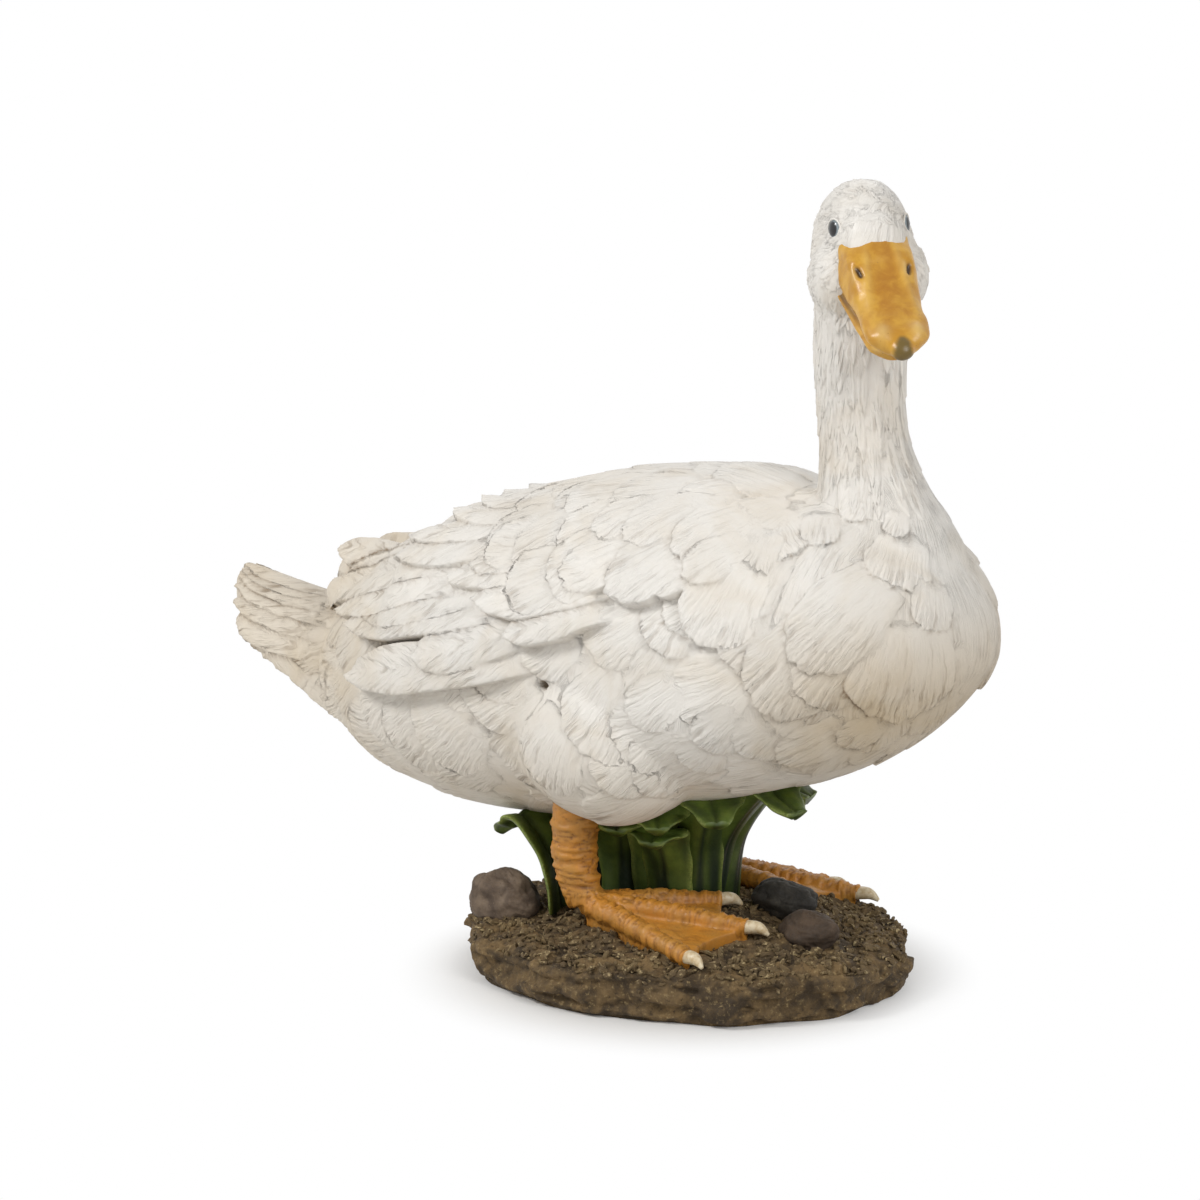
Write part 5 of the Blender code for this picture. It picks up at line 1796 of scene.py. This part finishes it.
    def lay_scallops(self) -> None:
        """Scalloped feathers of the rump, belly, flank, back and breast, each lapping the one behind it."""
        rows = (
            (0.03, 0.022, 0.022),
            (0.09, 0.026, 0.024),
            (0.16, 0.030, 0.028),
            (0.24, 0.034, 0.031),
            (0.32, 0.036, 0.033),
            (0.40, 0.037, 0.034),
            (0.48, 0.036, 0.034),
            (0.56, 0.036, 0.034),
            (0.64, 0.036, 0.034),
            (0.72, 0.034, 0.032),
            (0.79, 0.032, 0.030),
            (0.84, 0.030, 0.029),
            (0.89, 0.030, 0.028),
            (0.94, 0.028, 0.027),
        )
        roots = []
        for row, (share, length, width) in enumerate(rows):
            keel, back, _, half = self.trunk.station(min(share, self.trunk.breast_round))
            ahead = max(0.0, share - self.trunk.breast_round) / (1 - self.trunk.breast_round)
            girth = math.pi * (half + (back - keel) / 2) * math.cos(math.pi / 2 * ahead)
            count = max(3, round(girth / 2 / width))
            for k in range(count):
                around = 180 * (k + 0.5 * (row % 2) + 0.36 * self.dice.uniform(-1, 1)) / count
                for side in SIDES:
                    place = self.place(share + 0.020 * self.dice.uniform(-1, 1), around, side)
                    grow = 1 + 0.26 * self.dice.uniform(-1, 1)
                    if place is not None and not self.is_bare(place):
                        broad = width * 1.22 * grow * self.dice.uniform(0.85, 1.15)
                        roots.append((place, length * 1.35 * grow, broad))
        roots.sort(key=lambda root: -(root[0] - self.flow_from).length)
        for place, length, width in roots:
            rump = 1.0 if place.x < self.trunk.rump_x + 0.055 else 0.0
            lift = self.lift * (self.dice.uniform(0.25, 0.75) + 0.2 * rump)
            dark = 0.15 + 0.75 * self.dice.random() ** 3 + 0.3 * rump
            self.lay(place, length, width, lift, Plume.SCALLOP, self.swerved(), dark=dark)

    def is_bare(self, place: Vector) -> bool:
        """Whether only fine hair lines lie there: on the neck's root and the upper breast."""
        over_breast = place.x > 0.090 and place.z > self.trunk.keel_z + 0.68 * self.trunk.depth
        return place.z > self.trunk.back_z or over_breast

    def swerved(self) -> Callable[[Vector], Vector]:
        """The flow, turned a little to one side for one feather."""
        aside = self.scatter()
        return lambda here: self.flow(here) + aside

    def scatter(self) -> Vector:
        """Small turn to any side."""
        return Vector((self.dice.normal(), self.dice.normal(), self.dice.normal())) * 0.22

    def lay_lobes(self, lobes: Sequence[Lobe], kind: Plume, on_wing: bool) -> None:
        """Lays broad feathers whose places are known, on both sides.

        Args:
            lobes: The feathers of the right side, from the lowest to the topmost.
            kind: Their kind.
            on_wing: Whether they lie on the wing.
        """
        long = kind is Plume.LONG
        ragged, stretch = (self.long_ragged, 1.35) if long else (self.ragged, 0.80)
        for lobe in lobes:
            for side in SIDES:
                ends = [Vector((x / 1000, -side * y / 1000, z / 1000)) for x, y, z in (lobe.root, lobe.tip)]
                if side > 0 and abs(ends[0].y) < 0.008:
                    continue
                if side > 0:
                    ends = [end + Vector((0.004, 0.0, 0.003)) * self.dice.normal() for end in ends]
                root, tip = ends
                far = (tip - root).length
                grow = 1.0 if side < 0 else self.dice.uniform(0.92, 1.08)
                settings = {"pointed": 0.10, "dark": lobe.dark, "on_wing": on_wing, "ragged": ragged}
                heading = (tip - root).normalized()
                lift = self.lift * lobe.stands * stretch
                self.lay(root, far * 1.06, lobe.wide / 1000 * grow, lift, kind, heading, **settings)

    def lay_tail(self) -> None:
        """Long feathers of the tail, the middle pair on top."""
        for k in range(6, -1, -1):
            share = k / 6
            for side in SIDES if k else (1,):
                out = side * share * 0.47 * self.trunk.tail_width
                start = Vector((self.trunk.rump_x + 0.006, out, self.trunk.back_z))
                root = self.tree.ray_cast(start, Vector((0, 0, -1)))[0]
                if root is not None:
                    heading = Vector((-1.0, -side * 0.06 * share, 0.16 + 0.10 * share))
                    length = self.trunk.tail_length * (1.06 - 0.14 * share)
                    self.lay(root, length, 0.0165, self.lift * 0.8, Plume.LONG, heading, pointed=0.30)

    def lay_shoulders(self) -> None:
        """Broad feathers over the shoulders and the front of the back, lying over the wings."""
        for row, share in enumerate((0.47, 0.53, 0.59, 0.65, 0.71, 0.77)):
            for k in range(4):
                around = 5 + 14 * k + 7 * (row % 2) + 4 * self.dice.uniform(-1, 1)
                for side in SIDES:
                    start = self.place(share, around, side)
                    if start is not None and start.z < self.trunk.back_z:
                        grow = 1 + 0.20 * self.dice.uniform(-1, 1)
                        lift = self.lift * self.dice.uniform(0.35, 0.65)
                        settings = {"on_wing": True, "dark": 0.15 + 0.6 * self.dice.random() ** 3}
                        size = (0.043 * grow, 0.034 * grow, lift)
                        self.lay(start, *size, Plume.SCALLOP, self.swerved(), **settings)
        self.lay_lobes(self.shoulder_lobes, Plume.SCALLOP, True)

    def lay_neck(self) -> None:
        """Long thin streaks down the neck, broader and tufted at its root."""
        low, high = self.trunk.back_z - 0.014, self.neck.top_z - 0.016
        axis_x = self.neck.back_x + self.neck.radius
        spots = [(self.dice.random() ** 0.9, self.dice.uniform(0, 2 * math.pi)) for _ in range(260)]
        for share, turn in sorted(spots):
            out = Vector((math.cos(turn), math.sin(turn), 0.0))
            start = Vector((axis_x, 0.0, low + 0.014 + share * (high - low - 0.014))) + out * 0.10
            root = self.tree.ray_cast(start, -out)[0]
            if root is None:
                continue
            base = max(0.0, 1 - share / 0.16)
            length = (0.036 - 0.014 * share) * self.dice.uniform(0.6, 1.3)
            width = (0.0036 + 0.0020 * base) * self.dice.uniform(0.6, 1.5)
            aside = Vector((-out.y, out.x, 0)) * 0.13 * self.dice.normal()
            lean = Vector((out.x * 0.4, out.y * 0.4, -1.0)) + aside
            lift = 0.00055 * (1 - 0.5 * base) * self.dice.uniform(0.4, 1.6)
            dark = 0.10 + 0.9 * self.dice.random() ** 4
            self.lay(root, length, width, lift, Plume.TUFT, lean, pointed=0.8, dark=dark)

    def lay_head(self) -> None:
        """Very fine down on the head, combed away from the bill."""
        place = self.head.place
        centre = place.translation
        forward = place.to_3x3() @ Vector((1.0, 0.0, 0.0))
        count = 620
        golden = math.pi * (3 - math.sqrt(5))
        spots = []
        for k in range(count):
            level = 1 - 1.75 * (k + 0.5) / count
            ring = math.sqrt(max(0.0, 1 - level * level))
            local = Vector((ring * math.cos(k * golden), ring * math.sin(k * golden), level))
            way = place.to_3x3() @ local
            spot = self.tree.ray_cast(centre + way * 0.12, -way)[0]
            ahead = (spot - centre).dot(forward) if spot is not None else self.head.length
            if ahead < 0.375 * self.head.length:
                spots.append((spot, local))
        spots.sort(key=lambda item: item[1].x)
        for spot, local in spots:
            down = place.to_3x3() @ Vector((-0.75, 0.0, -0.65 + 0.5 * local.z))
            down += self.scatter()
            brow = max(0.0, local.x) * max(0.0, local.z)
            lift = 0.00050 * (1 - 0.50 * min(1.0, brow * 2.2)) * self.dice.uniform(0.4, 1.4)
            size = 0.010 * self.dice.uniform(0.7, 1.4)
            root = spot - forward * 0.002
            self.lay(root, size, size * 0.30, lift, Plume.DOWN, down, pointed=0.7, dark=0.22)

    def lay_all(self) -> None:
        """Lays every feather, in the order in which they overlap."""
        self.lay_scallops()
        self.lay_lobes(self.breast_lobes, Plume.SCALLOP, False)
        self.lay_tail()
        self.lay_lobes(self.wing_lobes, Plume.LONG, True)
        self.lay_shoulders()
        self.feathers_of_body = len(self.feathers)
        self.lay_head()
        first = len(self.feathers)
        self.lay_neck()
        LOG.info("%d feathers on the body, %d in all", self.feathers_of_body, first)

    def press(self, points: np.ndarray, feathers: Sequence[Feather]) -> Relief:
        """Works feathers into a skin, each over those before it.

        Args:
            points: Points of the skin.
            feathers: The feathers.

        Returns:
            What they give each point.
        """
        relief = Relief.plain(points, self.flow_from)
        order = np.argsort(points[:, 0])
        sorted_x = points[order, 0]
        for feather in feathers:
            middle = feather.line.mean(axis=0)
            reach = feather.length * 0.5 + feather.width
            first, last = np.searchsorted(sorted_x, (middle[0] - reach, middle[0] + reach))
            near = order[first:last]
            near = near[((points[near] - middle) ** 2).sum(axis=1) < reach * reach]
            if len(near):
                self.press_one(points[near], near, feather, relief)
        return relief

    def press_one(self, points: np.ndarray, near: np.ndarray, feather: Feather, relief: Relief) -> None:
        """Works one feather in.

        Args:
            points: The points near it.
            near: Their numbers in the relief.
            feather: The feather.
            relief: What is changed.
        """
        along, across = feather.measure(points)
        middle = len(feather.line) // 2
        facing = (points - feather.line.mean(axis=0)) @ feather.outs[middle] > -feather.width
        along = feather.wavy(along, across)
        held = np.clip(along, 0, 1)
        half = feather.half_width(held)
        edge = self.edge * (0.45 if feather.fine else 1.0)
        inside = np.clip((half - np.abs(across)) / edge + 0.5, 0, 1) * (along > 0) * (along < 1) * facing
        inside = inside * inside * (3 - 2 * inside) * np.clip(held * 4, 0, 1)
        barb, run = feather.comb(held, across)
        to_rim = np.clip(half - np.abs(across), 0, None)
        flare = np.clip((held - 0.40) / 0.45, 0, 1)
        raised = feather.shape(held, across, half)
        if feather.fine:
            raised = raised + relief.height[near] * 0.85
        else:
            raised = raised - self.creases(feather, barb) * flare * np.clip(to_rim / 0.001, 0, 1)
        if feather.on_wing:
            behind = np.clip((self.neck.back_x - points[:, 0]) / self.wing_fade, 0, 1)
            raised = raised + self.wing_stands_out * behind
        outside = np.maximum(np.abs(across) - half, (along - 1) * feather.length)
        line = self.rim_line(feather, held, outside) * facing * (along < 1.3)
        relief.wash_and_shade[near] = np.maximum(relief.wash_and_shade[near] * (1 - inside), line * (1 - inside))
        relief.height[near] += (raised - relief.height[near]) * inside
        combed = np.clip(to_rim / 0.0010, 0, 1) * np.clip(held * 5 - 0.5, 0, 1)
        if feather.kind is Plume.SCALLOP:
            combed *= 0.45 + 0.55 * flare
        if feather.fine:
            relief.tuft[near] = np.maximum(relief.tuft[near], inside)
        taken = inside > 0.5
        rows = near[taken]
        relief.barb[rows], relief.run[rows], relief.combed[rows] = barb[taken], run[taken], combed[taken]
        relief.tone[rows] = feather.tone

    def creases(self, feather: Feather, barb: np.ndarray) -> np.ndarray:
        """Depth of the creases combed into a feather's end.

        Args:
            feather: The feather.
            barb: Place of each point across the comb lines.

        Returns:
            The depth at each point.
        """
        turns = barb / self.crease_pitch * 2 * math.pi
        crease = np.clip(np.sin(turns + 2.2 * np.sin(turns * 0.31 + feather.phase)), 0, 1) ** 2
        depth = self.long_crease_depth if feather.long else self.crease_depth
        return depth * min(1.0, feather.dark + 0.3) * crease

    def rim_line(self, feather: Feather, held: np.ndarray, outside: np.ndarray) -> np.ndarray:
        """Wash and painted shade in the line round a feather's end, with a wider, fainter band of painted
        shade outside it.

        Args:
            feather: The feather.
            held: Share along it.
            outside: Distance outside its edge.

        Returns:
            The wash and painted shade at each point.
        """
        near_tip = np.clip((held - 0.45) / 0.3, 0, 1)
        if feather.long:
            near_tip = np.maximum(near_tip, 0.8 * np.clip(held * 4, 0, 1))
        past = np.clip(outside - 0.0002, 0, None)
        width = self.fine_line_width if feather.fine else self.line_width
        line = np.exp(-((past / width) ** 2)) * (0.4 + 0.6 * feather.tone)
        # Painted shade: a wider, fainter band outside the rim line.
        if not feather.fine:
            line = np.maximum(line, 0.26 * np.exp(-((past / self.shade_band_width) ** 2)))
        return line * (outside > -0.0004) * near_tip * feather.dark * (0.65 if feather.fine else 1.0)


@dataclass
class Plumage:
    """The feathered bird, in two pieces that overlap under the tufts at the root of the neck."""

    trunk: Trunk
    neck: Neck
    head: Head
    skin_step: float = 0.0015
    body_triangles: int = 198000
    neck_triangles: int = 125000
    seam_sunk: float = 0.0030
    belly_tuck: float = 0.0025
    vent_share: float = 0.495
    vent_height: float = 0.455
    vent_radius: float = 0.0023
    vent_depth: float = 0.006

    def above_seam(self, points: np.ndarray) -> np.ndarray:
        """How far points lie above the line where the neck's tufts end."""
        return points[:, 2] - (self.trunk.back_z - 0.010 - 0.20 * (points[:, 0] - self.neck.back_x))

    def build(self) -> None:
        """Makes both pieces."""
        forms = self.trunk.forms() + [self.neck.form()] + self.head.forms()
        skin = fused("base_skin", Form.joined(forms), self.skin_step * (1), 8)
        coat = Coat(self.trunk, self.neck, self.head, skin)
        coat.lay_all()
        above = self.above_seam(points_of(skin))
        body = cut_part(skin, "plumage_body", above < 0.006)
        neck = cut_part(skin, "plumage_neck_and_head", above > -0.026)
        on_body = coat.feathers[: coat.feathers_of_body]
        self.finish(body, coat, on_body, 1, self.body_triangles)
        self.finish(neck, coat, coat.feathers, 2, self.neck_triangles)
        bpy.data.objects.remove(skin, do_unlink=True)

    def finish(
        self, obj: bpy.types.Object, coat: Coat, feathers: Sequence[Feather], levels: int, triangles: int
    ) -> None:
        """Works the feathers into one piece and dresses it.

        Args:
            obj: The piece, still smooth.
            coat: The feathers' layer.
            feathers: Those that this piece shows.
            levels: How often its faces are halved first.
            triangles: How many triangles it keeps.
        """
        if levels:
            halve(obj, levels)
            settle(obj)
        points, normals = points_of(obj), normals_of(obj)
        relief = coat.press(points, feathers)
        height = relief.height
        if "neck" in obj.name:
            covered = np.clip(self.above_seam(points) / 0.004 + 0.5, 0, 1)
            tufted = relief.tuft * np.clip(covered * 3, 0, 1)
            height = height - self.seam_sunk * (1 - np.maximum(covered, tufted))
        else:
            height = height - self.belly_tuck * np.clip(-normals[:, 2] * 1.6 - 0.35, 0, 1)
            height, relief.wash_and_shade = self.with_vent(coat, points, height, relief.wash_and_shade)
        move_points(obj, points + normals * height[:, None])
        keep(obj, "wash_and_shade", np.clip(relief.wash_and_shade, 0, 1))
        for layer in ("barb", "run", "combed", "tone"):
            keep(obj, layer, getattr(relief, layer))
        keep(obj, "gloss", self.brow(points))
        thinned(obj, triangles)
        dress(obj, PlumagePaint())

    def brow(self, points: np.ndarray) -> np.ndarray:
        """How much each point shares in the smoother paint of the brow."""
        local = np.array(self.head.place.inverted())
        own = points @ local[:3, :3].T + local[:3, 3]
        near = np.clip(own[:, 0] / 0.016, 0, 1) * np.clip((own[:, 2] - 0.004) / 0.01, 0, 1)
        return near * np.clip((points[:, 2] - self.neck.top_z) / 0.01 + 0.5, 0, 1)

    def with_vent(
        self, coat: Coat, points: np.ndarray, height: np.ndarray, wash_and_shade: np.ndarray
    ) -> tuple[np.ndarray, np.ndarray]:
        """Sinks the small vent hole in the right flank and paints shade into it and round its mouth.

        Args:
            coat: The feathers' layer, for the place of the skin.
            points: Points of the skin.
            height: Their relief.
            wash_and_shade: Their wash and painted shade.

        Returns:
            The relief, and the wash and painted shade with the hole painted dark.
        """
        mouth = coat.side_place(self.vent_share, self.vent_height, -1)
        away = np.linalg.norm(points - np.array(mouth), axis=1)
        sunk = np.clip((self.vent_radius - away) / 0.0006 + 0.5, 0, 1)
        ring = np.exp(-(((away - self.vent_radius * 1.25) / 0.0009) ** 2))
        # Painted shade: the hole is coloured dark, with a faint dark ring round its mouth.
        wash_and_shade = np.maximum(wash_and_shade, np.maximum(sunk * 3, 0.25 * ring))
        return height * (1 - sunk) - self.vent_depth * sunk, wash_and_shade


# Studio


@dataclass
class Studio:
    """Pale floor, soft lamps and the camera."""

    target: tuple[float, float, float] = (-0.03720, -0.02416, 0.19080)
    azimuth: float = math.radians(33.0)
    elevation: float = math.radians(10.7)
    distance: float = 1.8
    lens: float = 108.0
    sensor: float = 36.0

    def camera(self) -> None:
        """Adds the camera."""
        flat = math.cos(self.elevation)
        east, north = math.sin(self.azimuth) * flat, -math.cos(self.azimuth) * flat
        back = Vector((east, north, math.sin(self.elevation)))
        data = bpy.data.cameras.new("camera")
        data.lens = self.lens
        data.sensor_width = self.sensor
        obj = linked("camera", data)
        obj.location = Vector(self.target) + back * self.distance
        obj.rotation_euler = (-back).to_track_quat("-Z", "Y").to_euler()
        bpy.context.scene.camera = obj

    def lamp(self, name: str, place: Point, power: float, size: float) -> None:
        """Adds one soft lamp that faces the ornament."""
        data = bpy.data.lights.new(name, "AREA")
        data.energy = power
        data.size = size
        obj = linked(name, data)
        obj.location = place
        obj.rotation_euler = (Vector((0.0, 0.0, 0.18)) - obj.location).to_track_quat("-Z", "Y").to_euler()

    def seen(self, tree: bpy.types.NodeTree) -> bpy.types.NodeSocket:
        """1 for rays from the camera, and for reflections and see-through ones, else 0."""
        rays = tree.nodes.new("ShaderNodeLightPath")
        total = rays.outputs["Is Camera Ray"]
        for name in ("Is Glossy Ray", "Is Transmission Ray"):
            more = tree.nodes.new("ShaderNodeMath")
            more.operation = "MAXIMUM"
            tree.links.new(total, more.inputs[0])
            tree.links.new(rays.outputs[name], more.inputs[1])
            total = more.outputs[0]
        return total

    def floor(self) -> None:
        """Adds the floor, which fades to white away from the ornament."""
        far = 40.0
        corners = np.array([(-far, -far, 0), (far, -far, 0), (far, far, 0), (-far, far, 0)])
        obj = Form(corners, [(0, 1, 2, 3)]).to_object("floor")
        shader = Shader("floor_paper")
        shader.set(Base_Color=(0.80, 0.79, 0.77), Roughness=0.9)
        x, y, _ = shader.split()
        away = shader.sum("SQRT", shader.sum("ADD", shader.sum("POWER", x, 2.0), shader.sum("POWER", y, 2.0)))
        white = shader.node("ShaderNodeEmission")
        fade = shader.node("ShaderNodeMixShader")
        share = shader.sum("MULTIPLY", shader.step(away, 0.090, 0.152), self.seen(shader.tree))
        shader.feed(fade.inputs[0], share)
        shader.feed(fade.inputs[1], shader.main.outputs[0])
        shader.feed(fade.inputs[2], white.outputs[0])
        shader.feed(shader.tree.nodes["Material Output"].inputs["Surface"], fade.outputs[0])
        obj.data.materials.append(shader.material)
        obj.location.z = -0.0002

    def world(self) -> None:
        """Lights the room softly, and shows it white."""
        world = bpy.data.worlds.new("room")
        bpy.context.scene.world = world
        world.use_nodes = True
        tree = world.node_tree
        background = tree.nodes["Background"]
        mix = tree.nodes.new("ShaderNodeMix")
        tree.links.new(self.seen(tree), mix.inputs[0])
        mix.inputs[2].default_value = 0.34
        mix.inputs[3].default_value = 1.0
        tree.links.new(mix.outputs[0], background.inputs["Strength"])
        background.inputs["Color"].default_value = (1.0, 1.0, 1.0, 1.0)

    def build(self) -> None:
        """Sets up the studio."""
        bpy.context.scene.view_settings.view_transform = "Standard"
        self.camera()
        self.floor()
        self.world()
        self.lamp("key_lamp", (-0.9, -1.25, 1.4), 21.0, 0.5)
        self.lamp("fill_lamp", (1.5, -0.7, 1.1), 14.0, 0.8)
        self.lamp("rear_lamp", (-0.6, 1.4, 1.4), 6.0, 1.0)


def main() -> None:
    """Builds the ornament's looks and the studio."""
    logging.basicConfig(level=logging.INFO, format="%(name)s: %(message)s")
    earth = Earth()
    feet = [Foot(name, side, earth) for side, name in zip(SIDES, ("foot_right", "foot_left"))]
    trunk = Trunk(earth.top + feet[0].leg_shown)
    neck = Neck(trunk)
    head = Head(neck)
    Plumage(trunk, neck, head).build()
    head.build_eyes()
    Bill(head).build()
    for foot in feet:
        foot.build()
    Leaves(earth, trunk).build()
    earth.build()
    grey = StonePaint("grey_stone_paint")
    charcoal = StonePaint("charcoal_stone_paint", (0.013, 0.011, 0.008), (0.042, 0.036, 0.027))
    brown = StonePaint("brown_stone_paint", (0.034, 0.021, 0.012), (0.085, 0.054, 0.032))
    size = 0.036
    stones = (
        ("boulder", (-0.084, -0.042, -0.002), (1.12, 0.80, 0.84), grey),
        ("rear_stone", (-0.076, 0.004, 0.0), (0.62, 0.55, 0.60), charcoal),
        ("dark_stone", (0.049, 0.0143, 0.004), (1.02, 0.75, 0.55), charcoal),
        ("brown_stone", (0.077, -0.009, -0.003), (0.84, 0.74, 0.64), brown),
        ("far_stone", (0.030, 0.078, -0.008), (0.60, 0.50, 0.36), brown),
    )
    for seed, (name, (x, y, above), shares, paint) in enumerate(stones, 1):
        sizes = tuple(share * size for share in shares)
        Stone(name, (x, y, earth.top + above), sizes, seed, paint).build()
    Studio().build()


if __name__ == "__main__":
    main()
